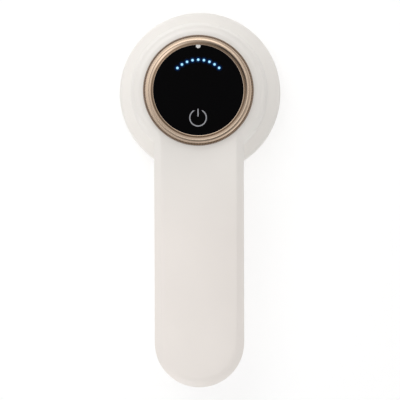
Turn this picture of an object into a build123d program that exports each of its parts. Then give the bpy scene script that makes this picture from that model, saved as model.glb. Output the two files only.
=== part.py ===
from build123d import *
import math
import os

# Battery massager with a round spinning pad, a straight handle and a knurled speed dial.
# Millimetres. The origin is on the spindle axis, level with the tips of the pad's nubs.
# +Z goes up to the display, and the handle runs towards -Y.

# Display and dial, from the window outwards
window_radius = 28.0
glass_overlap = 0.6
glass_thickness = 1.6
glass_recess = 2.2
glass_bevel = 0.3
dial_clearance = 0.2
dial_tube_wall = 1.6
dial_tube_shoulder = 0.5
dial_tube_lip = 2.0
turret_wall = 1.8
ring_width = 3.6
ring_height = 7.0
ring_gap = 0.5
knurl_depth = 0.4
knurl_count = 216
dial_hole_clearance = 0.3
ring_gear_rim = 2.3
ring_gear_teeth = 110
ring_gear_width = 2.5
clip_groove = 0.6
clip_thickness = 0.7
clip_stand_out = 1.1
washer_thickness = 0.4
washer_gap = 0.1
washer_width = 2.2
encoder_teeth = 14
encoder_shaft_radius = 1.0
encoder_size = 7.0
encoder_height = 3.3
encoder_collar = 0.6
encoder_gap = 1.1
encoder_board_margin = 1.7
lamp_count = 9
lamp_circle = 18.8
lamp_step = 10.8
lamp_size = 1.6
lamp_height = 0.7
light_pin_radius = 0.8
light_bar_width = 3.0
light_bar_thickness = 1.4
light_foot_radius = 1.1
light_foot_clearance = 0.3
lens_disc_thickness = 1.6
lens_skirt_wall = 1.2
lens_skirt_lift = 1.1
lens_play = 0.3
lens_hub_radius = 3.2
lens_hub_height = 0.6
lens_turret_gap = 0.6
index_radius = 1.6
index_inset = 0.5
index_depth = 0.8
press_travel = 0.5
switch_size = 6.2
switch_height = 3.2
plunger_radius = 1.7
plunger_clearance = 0.1
switch_floor = 0.4
display_board_thickness = 1.2
display_board_rise = 2.0
pillar_circle = 21.0
pillar_radius = 2.5
board_rim_gap = 0.6
ribbon_width = 6.0
ribbon_thickness = 0.3
ribbon_place = 11.0
ribbon_bend = 1.4

# Housing outline seen from above; the handle's half-width is its end radius too
chassis_boss_radius = 2.4
chassis_ear_radius = 2.6
chassis_boss_gap = 0.8
chassis_wall_gap = 0.7
chassis_thickness = 2.0
housing_wall = 2.4
neck_facet_width = 6.5
neck_corner_radius = 3.0
crease_corner_radius = 12.0
handle_half_width = 27.8
handle_facet_width = 4.1
handle_reach = 156.5
facet_height = 4.5
facet_blend_radius = 9.0
crease_blend_radius = 1.5
handle_underside_radius = 13.0
lower_shell_depth = 18.0
seam_lip = 1.2
seam_lip_height = 1.4
seam_clearance = 0.15

# Heights of the head, stacked from the nub tips up
nub_height = 8.0
pad_thickness = 2.5
carrier_thickness = 2.5
socket_height = 5.0
socket_gap = 1.0
base_plate_thickness = 2.5
base_boss_rise = 2.5
lower_bush_rise = 3.3
gear_gap = 0.2
spindle_gear_width = 5.0
floor_gap = 0.6
neck_step = 1.0
mount_plate_thickness = 2.0
motor_can_length = 23.4
end_cap_thickness = 1.6
terminal_height = 1.8
terminal_room = 0.6

# Skirt round the pad
skirt_width = 8.5
skirt_edge_radius = 4.8
skirt_land_slope = 14.0
groove_radius = 4.5
skirt_drop = 8.0
skirt_wall = 2.4
skirt_seat = 2.6
skirt_seat_relief = 2.0
skirt_seat_rise = 1.1
skirt_bore_depth = 3.0
skirt_foot_chamfer = 1.0
plug_clearance = 0.2

# Pad with its nubs, and the disc that carries it
pad_clearance = 1.8
pad_lip = 1.3
pad_edge_radius = 1.2
pad_wrap_gap = 1.0
nub_edge_margin = 7.8
nub_ring_count = 3
nub_foot_radius = 4.2
nub_tip_radius = 2.3
pad_peg_radius = 2.2
pad_peg_head = 1.2
pad_peg_count = 6
carrier_rib_width = 1.6
carrier_rib_height = 2.5
carrier_rib_gap = 5.0
hub_flats = 22.0
hub_play = 0.15
hub_gap = 0.3
hub_top_gap = 0.2
socket_wall = 3.6
magnet_margin = 2.0
magnet_bore = 4.2
magnet_thickness = 3.0
keeper_thickness = 0.8
keeper_margin = 0.5

# Drive
drive_module = 0.8
pinion_teeth = 14
spindle_teeth = 42
tooth_backlash = 0.14
pressure_angle = 25.0
gear_window_radius = 2.6
spindle_radius = 3.0
shaft_clearance = 0.04
bush_wall = 2.0
bush_flange = 2.0
spindle_rise = 3.6
spindle_clip_groove = 0.6
spindle_clip_thickness = 0.8
spindle_clip_width = 1.8
spindle_tip_height = 0.8
spindle_clip_gap = 0.1
seal_width = 3.0
seal_thickness = 0.45
hub_screw_depth = 1.2
hub_screw_pocket = 3.2
motor_radius = 12.0
motor_can_wall = 0.8
motor_boss_radius = 3.0
motor_shaft_radius = 1.25
motor_screw_spread = 8.5
motor_window_gap = 0.8
motor_boss_gap = 0.4
motor_front_wall = 1.0
motor_magnet_thickness = 1.7
motor_air_gap = 0.9
terminal_spread = 5.2
mount_plate_offset = 5.0
mount_plate_gap = 0.35
mount_screw_margin = 3.8
mount_screw_grip = 5.5
mount_boss_radius = 2.8
mount_boss_height = 7.0
motor_magnet_gap = 2.5
winding_radius = 6.4
commutator_radius = 2.8
hub_screw_length = 8.0
gear_window_circle = 10.0
gear_window_gap = 1.6
mount_screw_angles = (-33.7, 59.2)

# Cells and boards
cell_radius = 9.2
cell_length = 65.0
cell_play = 0.8
cell_tray_play = 0.15
cell_tray_edge = 0.2
cell_tray_side = 2.0
cell_tray_end = 2.0
cell_link_width = 6.0
cell_link_rise = 1.4
cell_tray_wall = 1.6
cell_tray_height = 9.0
cell_tray_floor = 1.3
cell_tray_corner = 6.0
cell_front_gap = 9.5
cell_link_thickness = 0.3
foam_thickness = 2.9
board_thickness = 1.6
main_board_end_gap = 5.0
main_board_margin = 7.4
lead_radius = 0.7
port_width = 8.94
port_thickness = 3.26
port_depth = 7.3
port_sink = 1.7
port_shell = 0.3
port_end_wall = 0.6
port_tongue_width = 6.6
port_tongue_thickness = 0.7
port_bezel_wall = 1.4
port_play = 0.23
port_seat = 4.4
port_flange = 1.0
port_flange_edge = 0.8
port_gasket = 0.8
port_gasket_edge = 0.4
port_board_gap = 0.1
charge_board_length = 18.4
charge_board_width = 18.0
charge_board_thickness = 1.2

charge_post_radius = 2.4
charge_screw_grip = 5.0
board_screw_grip = 5.0
board_post_radius = 2.6
lead_gap = 0.5
socket_margin = 2.0
battery_socket = (8.0, 6.5, 4.6)
battery_lead_rise = 2.9
ribbon_socket = (9.0, 4.2, 2.0)
ribbon_socket_front = 2.8
ribbon_rise = 1.2
ribbon_fall = 1.3

# Chips on the main board: left edge, width, distance from the board's front, length, height
board_chips = ((-11.5, 7.0, 37.0, 7.0, 0.9), (4.0, 5.0, 34.0, 6.0, 1.5), (-3.0, 5.0, 26.0, 4.0, 1.2))
coil_left = 4.5
coil_size = 7.0
coil_front = 45.0
coil_height = 3.0
capacitor_radius = 3.15
capacitor_height = 5.4
capacitor_front = 60.0
capacitor_places = (-7.0, 0.5)

# Fasteners: shank radius, head radius and head height
housing_screw = (1.5, 2.8, 2.2)
base_screw = (1.5, 2.8, 1.2)
hub_screw = (1.5, 2.8, 1.1)
mount_screw = (1.25, 2.2, 1.6)
motor_screw = (1.0, 1.7, 1.2)
small_screw = (1.0, 1.9, 1.2)
chassis_screw = (1.2, 2.1, 1.4)
charge_screw = (0.9, 1.8, 1.2)
head_play = 0.3
shank_play = 0.2
post_wall = 1.9
pocket_wall = 1.4
screw_end_gap = 0.5
housing_screw_sink = 8.5
housing_screw_grip = 7.5
cap_thickness = 2.6
head_screw_sink = 9.4
chassis_screw_grip = 2.0
base_screw_sink = 1.3
base_screw_end = 1.5
base_boss_wall = 2.0
base_boss_radius = 9.0

# Radii worked out from the window outwards
glass_radius = window_radius + glass_overlap
dial_tube_inner = glass_radius + dial_tube_shoulder
dial_tube_outer = dial_tube_inner + dial_tube_wall
turret_outer = dial_tube_inner - dial_clearance
turret_inner = turret_outer - turret_wall
ring_outer_radius = dial_tube_outer + ring_width
housing_hole_radius = dial_tube_outer + dial_hole_clearance
ring_gear_pitch = dial_tube_outer + ring_gear_rim
ring_gear_module = 2 * ring_gear_pitch / ring_gear_teeth
encoder_distance = ring_gear_module * (ring_gear_teeth + encoder_teeth) / 2
chassis_circle = ring_gear_pitch + ring_gear_module + chassis_boss_gap + chassis_boss_radius
neck_inner = chassis_circle + chassis_ear_radius + chassis_wall_gap
neck_radius = neck_inner + housing_wall
skirt_radius = neck_radius + skirt_width
skirt_cup = skirt_radius - skirt_wall
pad_radius = skirt_cup - pad_clearance
nub_pitch = (pad_radius - nub_edge_margin) / nub_ring_count
nub_tip_blend = 0.55 * nub_tip_radius
index_circle = window_radius - index_inset
crease_neck_radius = neck_radius - neck_facet_width
crease_half_width = handle_half_width - handle_facet_width
hub_inner = hub_flats / 2
magnet_radius = hub_inner - magnet_margin
keeper_radius = magnet_radius + keeper_margin
socket_outer = hub_inner / math.cos(math.pi / 6) + socket_wall
pad_peg_circle = 2.5 * nub_pitch
spindle_gear_pitch = drive_module * spindle_teeth / 2
gear_distance = spindle_gear_pitch + drive_module * pinion_teeth / 2
bush_radius = spindle_radius + bush_wall
post_radius = housing_screw[0] + post_wall
pocket_radius = housing_screw[1] + head_play
pocket_post_radius = pocket_radius + pocket_wall
head_post_x = neck_inner - pocket_post_radius - 0.1
mount_plate_radius = math.hypot(head_post_x, mount_plate_offset) - pocket_post_radius - mount_plate_gap
motor_window = motor_screw_spread + motor_screw[1] + motor_window_gap
magnet_ring_radius = motor_radius - motor_can_wall
port_bezel_width = port_width + 2 * port_play + 2 * port_bezel_wall
port_bezel_height = port_thickness + 2 * port_play + 2 * port_bezel_wall
armature_radius = magnet_ring_radius - motor_magnet_thickness - motor_air_gap

# Heights worked out from the nub tips up
pad_low = nub_height
carrier_low = pad_low + pad_thickness
carrier_high = carrier_low + carrier_thickness
hub_low = carrier_high + hub_gap
hub_high = carrier_high + socket_height + hub_top_gap
base_low = carrier_high + socket_height + socket_gap
base_high = base_low + base_plate_thickness
bush_high = base_high + lower_bush_rise
gear_low = bush_high + gear_gap
gear_high = gear_low + spindle_gear_width
floor_high = gear_high + floor_gap
floor_low = floor_high - housing_wall
neck_low = floor_high - neck_step
mount_high = floor_high + mount_plate_thickness
can_high = mount_high + motor_can_length
motor_high = can_high + end_cap_thickness
chassis_low = motor_high + terminal_height + terminal_room
chassis_high = chassis_low + chassis_thickness
tube_low = chassis_high + dial_clearance
clip_low = tube_low + dial_clearance
ring_gear_low = clip_low + clip_thickness
ring_gear_high = ring_gear_low + ring_gear_width
ceiling = ring_gear_high + washer_gap + washer_thickness
housing_top = ceiling + housing_wall
facet_foot = housing_top - facet_height
ring_low = housing_top + ring_gap
ring_high = ring_low + ring_height
lip_low = ring_high - dial_tube_lip
glass_high = ring_high - glass_recess
glass_low = glass_high - glass_thickness
display_board_low = chassis_high + display_board_rise
display_board_high = display_board_low + display_board_thickness
lens_disc_low = glass_low - lens_disc_thickness
plunger_high = lens_disc_low - lens_hub_height
main_board_high = ring_gear_low - encoder_gap - encoder_collar - encoder_height
main_board_low = main_board_high - board_thickness
cell_height = main_board_low - foam_thickness - cell_radius
handle_floor = cell_height - cell_radius - cell_tray_floor
handle_low = handle_floor - housing_wall
seam = handle_low + lower_shell_depth
port_height = handle_low + handle_underside_radius
shaft_top = mount_high + spindle_rise
spindle_low = carrier_high + 2.2
charge_board_high = port_height - port_thickness / 2
charge_board_low = charge_board_high - charge_board_thickness
spindle_clip_high = shaft_top - spindle_tip_height
spindle_clip_low = spindle_clip_high - spindle_clip_thickness
upper_bush_high = spindle_clip_low - spindle_clip_gap

# Lengths along the handle
cell_spacing = 2 * cell_radius + cell_play
cell_front = -neck_radius - cell_front_gap
cell_back = cell_front - cell_length
tray_half_width = cell_spacing / 2 + cell_radius + cell_tray_edge
handle_end = -handle_reach - handle_half_width
board_front = -encoder_distance + encoder_size / 2 + encoder_board_margin
board_back = cell_back + main_board_end_gap
board_half_width = handle_half_width - housing_wall - main_board_margin
port_flange_back = handle_end + port_seat + port_flange
charge_board_back = port_flange_back + port_gasket + port_board_gap
charge_board_front = charge_board_back + charge_board_length

# Places of screws and posts on the right-hand side; each has a twin at -X
handle_posts = (
    (handle_half_width - handle_underside_radius - 3.8, -neck_radius - 2.7),
    (handle_half_width - handle_underside_radius - 3.8, cell_back - 13.0),
)
head_posts = ((head_post_x, 0.0),)
board_posts = (
    (board_half_width - 4.5, cell_front - 6.0),
    (board_half_width - 4.5, board_back + 8.0),
)
charge_posts = ((charge_board_width / 2 - 3.0, charge_board_front - 4.5),)
motor_screw_places = ((motor_screw_spread, gear_distance),)
base_screw_circle = neck_radius - 11.5


def disc(radius, low, high, x=0.0, y=0.0):
    return Pos(x, y, low) * Cylinder(radius, high - low, align=(Align.CENTER, Align.CENTER, Align.MIN))


def tube(outer, inner, low, high, x=0.0, y=0.0):
    return disc(outer, low, high, x, y) - disc(inner, low - 1, high + 1, x, y)


def block(x0, x1, y0, y1, z0, z1):
    middle = Pos((x0 + x1) / 2, (y0 + y1) / 2, (z0 + z1) / 2)
    return middle * Box(x1 - x0, y1 - y0, z1 - z0)


def turned(points):
    """Solid turned about the spindle axis from a closed outline of radius and height."""
    outline = Plane.XZ * make_face(Polyline(*points, close=True))
    return revolve(outline, Axis.Z)


def both_sides(places):
    return [(side * x, y) for x, y in places for side in (1, -1)]


def on_circle(count, radius, start=0.0):
    angles = [math.radians(start + 360.0 * k / count) for k in range(count)]
    return [(radius * math.cos(a), radius * math.sin(a)) for a in angles]


def mount_places():
    circle = mount_plate_radius - mount_screw_margin
    angles = [math.radians(a) for a in mount_screw_angles]
    return [(circle * math.cos(a), mount_plate_offset + circle * math.sin(a)) for a in angles]


def group(pieces):
    return Compound([solid for piece in pieces for solid in piece.solids()])


def edges_at(solid, height):
    near = [e for e in solid.edges() if abs(e.bounding_box().min.Z - height) < 1e-4]
    return ShapeList([e for e in near if abs(e.bounding_box().max.Z - height) < 1e-4])


def screw(x, y, seat, tip, size):
    """Pan-head screw: the head bears on the seat, the shank runs from there to the tip."""
    shank, head, head_height = size
    if tip > seat:
        low, high, slot = seat - head_height, tip, seat - head_height
    else:
        low, high, slot = tip, seat + head_height, seat + head_height
    head_part = disc(head, min(seat, slot), max(seat, slot), x, y)
    shank_part = disc(shank, low, high, x, y)
    arm = head * 0.6
    cross = block(x - arm, x + arm, y - 0.25, y + 0.25, slot - 0.5, slot + 0.5)
    cross += block(x - 0.25, x + 0.25, y - arm, y + arm, slot - 0.5, slot + 0.5)
    return head_part + shank_part - cross


def tooth_outline(module, teeth, phase):
    """Points of a spur gear with involute flanks, thinned by the backlash."""
    pressure = math.radians(pressure_angle)
    pitch = module * teeth / 2
    base = pitch * math.cos(pressure)
    tip = pitch + 0.92 * module
    root = pitch - 1.2 * module
    at_pitch = math.pi / (2 * teeth) - tooth_backlash / (4 * pitch)
    involute = math.tan(pressure) - pressure
    flank = []
    first = max(base, root)
    for k in range(4):
        r = first + (tip - first) * k / 3
        a = math.acos(min(1.0, base / r))
        flank.append((r, at_pitch + involute - (math.tan(a) - a)))
    if root < base:
        flank.insert(0, (root, flank[0][1]))
    points = []
    for n in range(teeth):
        centre = phase + 2 * math.pi * n / teeth
        for r, half in flank:
            points.append((r * math.cos(centre - half), r * math.sin(centre - half)))
        for r, half in reversed(flank):
            points.append((r * math.cos(centre + half), r * math.sin(centre + half)))
    return points


def gear(module, teeth, low, high, bore, phase, y=0.0):
    face = make_face(Polyline(*tooth_outline(module, teeth, phase), close=True))
    return Pos(0, y, 0) * (extrude(Pos(0, 0, low) * face, high - low) - disc(bore, low - 1, high + 1))


def keyhole(head, half_width, corner, reach):
    """Round head running into a straight handle with a half-round end, seen from above."""
    corner_x = half_width + corner
    corner_y = -math.sqrt((head + corner) ** 2 - corner_x**2)
    share = head / (head + corner)
    touch_x = corner_x * share
    touch_y = corner_y * share
    middle = (math.atan2(touch_y - corner_y, touch_x - corner_x) + math.pi) / 2
    bend_x = corner_x + corner * math.cos(middle)
    bend_y = corner_y + corner * math.sin(middle)
    edges = [
        ThreePointArc((touch_x, touch_y), (0, head), (-touch_x, touch_y)),
        ThreePointArc((-touch_x, touch_y), (-bend_x, bend_y), (-half_width, corner_y)),
        Line((-half_width, corner_y), (-half_width, -reach)),
        ThreePointArc((-half_width, -reach), (0, -reach - half_width), (half_width, -reach)),
        Line((half_width, -reach), (half_width, corner_y)),
        ThreePointArc((half_width, corner_y), (bend_x, bend_y), (touch_x, touch_y)),
    ]
    return make_face(edges)


def wall_outline(inset):
    return keyhole(neck_radius - inset, handle_half_width - inset, neck_corner_radius + inset, handle_reach)


def housing_body(inset, neck_floor):
    """The housing filled in: straight side, sloping facet up to the crease, round underside."""
    slope = math.atan2(handle_half_width - crease_half_width, facet_height)
    low = handle_low + inset
    foot = facet_foot - inset * math.tan(slope / 2)
    top = housing_top - inset
    drawn_in = inset * math.tan((math.pi / 2 - slope) / 2)
    wall = wall_outline(inset)
    crease = keyhole(
        crease_neck_radius - drawn_in,
        crease_half_width - drawn_in,
        crease_corner_radius + drawn_in,
        handle_reach,
    )
    body = extrude(Pos(0, 0, low) * wall, foot - low)
    body += loft([Pos(0, 0, foot) * wall, Pos(0, 0, top) * crease], ruled=True)
    body = fillet(edges_at(body, low), handle_underside_radius - inset)
    body = fillet(edges_at(body, foot), facet_blend_radius - inset)
    if inset == 0:
        body = fillet(edges_at(body, top), crease_blend_radius)
    return body + disc(neck_radius - inset, neck_floor, seam)


def above(height):
    return block(-90, 90, -250, 90, height, height + 150)


def seam_ring(outer_inset, inner_inset, rise):
    ring = wall_outline(outer_inset) - wall_outline(inner_inset)
    return extrude(Pos(0, 0, seam) * ring, rise)


def stadium(width, height, y0, y1):
    """Bar with a racetrack section lying along Y at the height of the charging port."""
    face = Plane.XZ * SlotOverall(width, height)
    return Pos(0, y1, port_height) * extrude(face, y1 - y0)


def chassis_places():
    return on_circle(4, chassis_circle, 45.0)


def pillar_places():
    return on_circle(3, pillar_circle, 30.0)


def base_places():
    return on_circle(4, base_screw_circle, 45.0)


def add_upper_posts(upper):
    """Screw posts of the upper shell: they hang from its ceiling, with ribs in the head."""
    posts = disc(post_radius, seam, chassis_low - 0.5, head_post_x, 0)
    posts += disc(post_radius, seam, chassis_low - 0.5, -head_post_x, 0)
    posts += block(head_post_x, neck_radius - 1.0, -1.0, 1.0, seam + 1.6, chassis_low - 0.5)
    posts += block(1.0 - neck_radius, -head_post_x, -1.0, 1.0, seam + 1.6, chassis_low - 0.5)
    for x, y in both_sides(handle_posts):
        posts += disc(post_radius, seam, ceiling + 0.5, x, y)
    for x, y in both_sides(board_posts):
        posts += disc(board_post_radius, main_board_high, ceiling + 0.5, x, y)
    for x, y in chassis_places():
        posts += disc(chassis_boss_radius, chassis_high, facet_foot + 1.2, x, y)
    upper += posts
    for x, y in both_sides(handle_posts) + both_sides(head_posts):
        upper -= disc(housing_screw[0], seam - 1, seam + housing_screw_grip + screw_end_gap, x, y)
    for x, y in both_sides(board_posts):
        upper -= disc(small_screw[0], main_board_high - 1, main_board_high + board_screw_grip + 1, x, y)
    for x, y in chassis_places():
        upper -= disc(chassis_screw[0], chassis_high - 1, chassis_high + chassis_screw_grip + 0.4, x, y)
    return upper


def add_lower_posts(lower):
    """Screw posts of the lower shell, with sunk pockets for the heads and the caps."""
    for x, y in both_sides(handle_posts):
        lower += disc(pocket_post_radius, handle_low + 0.5, seam, x, y)
    for x, y in both_sides(head_posts):
        lower += disc(pocket_post_radius, floor_low, seam, x, y)
    for x, y in both_sides(mount_places()):
        lower += disc(mount_boss_radius, floor_high - mount_boss_height, floor_high, x, y)
    for x, y in base_places():
        lower += disc(base_screw[0] + base_boss_wall, base_high, floor_high, x, y)
    for x, y in both_sides(charge_posts):
        lower += disc(charge_post_radius, handle_low + 0.5, charge_board_low, x, y)
    shank_hole = housing_screw[0] + shank_play
    for x, y in both_sides(handle_posts):
        lower -= disc(pocket_radius, handle_low - 1, handle_low + housing_screw_sink, x, y)
        lower -= disc(shank_hole, handle_low, seam + 1, x, y)
    for x, y in both_sides(head_posts):
        lower -= disc(pocket_radius, floor_low - 1, floor_high + head_screw_sink, x, y)
        lower -= disc(shank_hole, floor_low, seam + 1, x, y)
    for x, y in both_sides(mount_places()):
        lower -= disc(mount_screw[0], floor_high - mount_screw_grip - screw_end_gap, floor_high + 1, x, y)
    for x, y in base_places():
        lower -= disc(base_screw[0], base_high - 1, floor_high - base_screw_end + screw_end_gap, x, y)
    for x, y in both_sides(charge_posts):
        lower -= disc(charge_screw[0], charge_board_high - charge_screw_grip - 1.4, charge_board_high, x, y)
    return lower


def make_housing():
    outer = housing_body(0, neck_low)
    cavity = housing_body(housing_wall, floor_high)
    shell = outer - cavity

    upper = add_upper_posts(shell & above(seam))
    upper -= seam_ring(seam_lip - seam_clearance, housing_wall + 0.05, seam_lip_height + 0.2)
    upper -= disc(housing_hole_radius, ceiling - 1, housing_top + 1)

    lower = shell - above(seam)
    lower += disc(neck_radius - skirt_wall - plug_clearance, floor_low, floor_high)
    opening = disc(spindle_gear_pitch + gear_window_gap, floor_low - 1, floor_high + 1)
    opening += disc(motor_window, floor_low - 1, floor_high + 1, 0, gear_distance)
    lower = add_lower_posts(lower - opening + seam_ring(seam_lip, housing_wall, seam_lip_height))
    lower -= stadium(port_bezel_width, port_bezel_height, handle_end - 1, handle_end + port_seat)
    return upper, lower, outer


def make_housing_screws():
    tip = seam + housing_screw_grip
    handle_seat = handle_low + housing_screw_sink
    head_seat = floor_high + head_screw_sink
    pieces = [screw(x, y, handle_seat, tip, housing_screw) for x, y in both_sides(handle_posts)]
    pieces += [screw(x, y, head_seat, tip, housing_screw) for x, y in both_sides(head_posts)]
    return group(pieces)


def make_screw_caps():
    high = handle_low + cap_thickness
    return group(disc(pocket_radius, handle_low, high, x, y) for x, y in both_sides(handle_posts))


def make_skirt():
    """Round flange under the neck: hollow groove, gentle land, rounded edge, straight rim."""
    tilt = math.radians(skirt_land_slope)
    groove_x = neck_radius + groove_radius
    groove_end = (groove_x - groove_radius * math.sin(tilt), neck_low - groove_radius * math.cos(tilt))
    half = math.radians(180.0 + (90.0 - skirt_land_slope) / 2)
    groove_middle = (
        groove_x + groove_radius * math.cos(half),
        neck_low + groove_radius * math.sin(half),
    )
    edge_x = skirt_radius - skirt_edge_radius
    land_end_x = edge_x + skirt_edge_radius * math.sin(tilt)
    land_end_z = groove_end[1] - (land_end_x - groove_end[0]) * math.tan(tilt)
    edge_z = land_end_z - skirt_edge_radius * math.cos(tilt)
    turn = math.radians((90.0 - skirt_land_slope) / 2)
    edge_middle = (edge_x + skirt_edge_radius * math.cos(turn), edge_z + skirt_edge_radius * math.sin(turn))
    rim_low = base_low - skirt_drop
    bore = neck_radius - skirt_wall
    seat = skirt_cup - skirt_seat
    outline = [
        ThreePointArc((neck_radius, neck_low), groove_middle, groove_end),
        Line(groove_end, (land_end_x, land_end_z)),
        ThreePointArc((land_end_x, land_end_z), edge_middle, (skirt_radius, edge_z)),
        Line((skirt_radius, edge_z), (skirt_radius, rim_low + skirt_foot_chamfer)),
        Line((skirt_radius, rim_low + skirt_foot_chamfer), (skirt_radius - skirt_foot_chamfer, rim_low)),
        Line((skirt_radius - skirt_foot_chamfer, rim_low), (skirt_cup, rim_low)),
        Line((skirt_cup, rim_low), (skirt_cup, base_high)),
        Line((skirt_cup, base_high), (seat, base_high)),
        Line((seat, base_high), (seat - skirt_seat_relief, base_high + skirt_seat_rise)),
        Line((seat - skirt_seat_relief, base_high + skirt_seat_rise), (bore, neck_low - skirt_bore_depth)),
        Line((bore, neck_low - skirt_bore_depth), (bore, neck_low)),
        Line((bore, neck_low), (neck_radius, neck_low)),
    ]
    return revolve(Plane.XZ * make_face(outline), Axis.Z)


def make_base_plate():
    rim = skirt_cup - plug_clearance
    plate = disc(rim, base_low, base_high) + disc(base_boss_radius, base_low, base_high + base_boss_rise)
    plate -= disc(bush_radius, base_low - 1, base_high + 10)
    plate = chamfer(edges_at(plate, base_low).filter_by(lambda e: e.radius > rim - 1), 0.5)
    for x, y in base_places():
        plate -= disc(base_screw[0] + shank_play, base_low - 1, base_high + 1, x, y)
        plate -= disc(base_screw[1] + shank_play, base_low - 1, base_low + base_screw_sink, x, y)
    return plate


def make_base_screws():
    seat = base_low + base_screw_sink
    return group(screw(x, y, seat, floor_high - base_screw_end, base_screw) for x, y in base_places())


def make_mount_plate():
    plate = disc(mount_plate_radius, floor_high, mount_high, 0, mount_plate_offset)
    plate -= disc(bush_radius, floor_high - 1, mount_high + 1)
    plate -= disc(motor_boss_radius, floor_high - 1, mount_high + 1, 0, gear_distance)
    for x, y in both_sides(motor_screw_places):
        plate -= disc(motor_screw[0], floor_high - 1, mount_high + 1, x, y)
    for x, y in both_sides(mount_places()):
        plate -= disc(mount_screw[0], floor_high - 1, mount_high + 1, x, y)
    return plate


def make_mount_screws():
    tip = floor_high - mount_screw_grip
    return group(screw(x, y, mount_high, tip, mount_screw) for x, y in both_sides(mount_places()))


def make_motor_screws():
    tip = mount_high + motor_front_wall - 0.2
    return group(screw(x, y, floor_high, tip, motor_screw) for x, y in both_sides(motor_screw_places))


def make_motor_can():
    can = disc(motor_radius, mount_high, can_high)
    can = fillet(edges_at(can, can_high), 0.3)
    can += disc(motor_boss_radius, floor_high + motor_boss_gap, mount_high)
    can -= disc(magnet_ring_radius, mount_high + motor_front_wall, can_high + 1)
    can -= disc(motor_shaft_radius + shaft_clearance, floor_high - 1, mount_high + 2)
    for side in (motor_screw_spread, -motor_screw_spread):
        can -= disc(motor_screw[0], mount_high - 1, mount_high + motor_front_wall + 0.5, side, 0)
    return Pos(0, gear_distance, 0) * can


def make_end_cap():
    cap = disc(motor_radius, can_high, motor_high) + disc(magnet_ring_radius, can_high - 1.2, can_high)
    cap = chamfer(edges_at(cap, motor_high), 0.5)
    cap -= disc(motor_shaft_radius + shaft_clearance, can_high - 2, motor_high + 1)
    cap -= disc(commutator_radius + 0.6, can_high - 2, can_high - 0.4)
    return Pos(0, gear_distance, 0) * cap


def make_terminals():
    high = motor_high + terminal_height
    places = (-terminal_spread, terminal_spread)
    tabs = [block(x - 1.2, x + 1.2, -0.25, 0.25, motor_high, high) for x in places]
    return group(Pos(0, gear_distance, 0) * tab for tab in tabs)


def make_magnets():
    inner = magnet_ring_radius - motor_magnet_thickness
    ring = tube(magnet_ring_radius, inner, mount_high + 2.0, can_high - 4.0)
    reach = motor_radius + 1
    right = ring & block(motor_magnet_gap, reach, -reach, reach, mount_high, can_high)
    left = ring & block(-reach, -motor_magnet_gap, -reach, reach, mount_high, can_high)
    return group(Pos(0, gear_distance, 0) * arc for arc in (right, left))


def make_armature():
    low = mount_high + 3.0
    core = disc(armature_radius, low + 1.5, can_high - 7.0)
    for x, y in on_circle(3, armature_radius, 90.0):
        core -= disc(1.5, low, can_high, x, y)
    core += disc(winding_radius, low, can_high - 5.5) + disc(commutator_radius, low, can_high - 1.8)
    core -= disc(motor_shaft_radius, low - 1, can_high)
    return Pos(0, gear_distance, 0) * core


def make_motor_shaft():
    return disc(motor_shaft_radius, gear_low, motor_high - 0.2, 0, gear_distance)


def make_motor_pinion():
    phase = -math.pi / 2 + math.pi / pinion_teeth
    return gear(drive_module, pinion_teeth, gear_low, gear_high, motor_shaft_radius, phase, gear_distance)


def make_spindle_gear():
    phase = math.pi / 2
    wheel = gear(drive_module, spindle_teeth, gear_low, gear_high, spindle_radius, phase)
    for x, y in on_circle(6, gear_window_circle, 30.0):
        wheel -= disc(gear_window_radius, gear_low - 1, gear_high + 1, x, y)
    return wheel


def make_bush(low, high, flange_low, flange_high):
    bush = disc(bush_radius, low, high) + disc(bush_radius + bush_flange, flange_low, flange_high)
    return bush - disc(spindle_radius + shaft_clearance, low - 1, high + 1)


def make_spindle():
    shaft = disc(spindle_radius, spindle_low, shaft_top)
    shaft = chamfer(edges_at(shaft, shaft_top), 0.4)
    shaft -= disc(hub_screw[0], carrier_high, carrier_high + hub_screw_length + 2.0)
    bottom = spindle_radius - spindle_clip_groove
    return shaft - tube(spindle_radius + 1, bottom, spindle_clip_low, spindle_clip_high)


def make_spindle_clip():
    outer = spindle_radius + spindle_clip_width
    ring = tube(outer, spindle_radius - spindle_clip_groove, spindle_clip_low, spindle_clip_high)
    return ring - block(-1.6, 1.6, -outer - 1, 0, spindle_clip_low - 1, spindle_clip_high + 1)


def make_hub():
    """Six-sided driver that carries the pad, with a pocket for its magnet ring and screw."""
    face = RegularPolygon(hub_inner, 6, major_radius=False)
    hub = extrude(Pos(0, 0, hub_low) * face, hub_high - hub_low)
    hub = chamfer(edges_at(hub, hub_low), 0.4)
    hub -= tube(magnet_radius, magnet_bore, hub_low - 1, hub_low + magnet_thickness)
    hub -= disc(hub_screw_pocket, hub_low - 1, hub_low + hub_screw_depth)
    hub -= disc(hub_screw[0], hub_low - 1, hub_high)
    return hub - disc(spindle_radius, spindle_low, hub_high + 1)


def make_hub_magnet():
    return tube(magnet_radius, magnet_bore, hub_low, hub_low + magnet_thickness)


def make_hub_screw():
    seat = hub_low + hub_screw_depth
    return screw(0, 0, seat, seat + hub_screw_length, hub_screw)


def make_spindle_seal():
    return tube(spindle_radius + seal_width, spindle_radius, hub_high, hub_high + seal_thickness)


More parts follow.
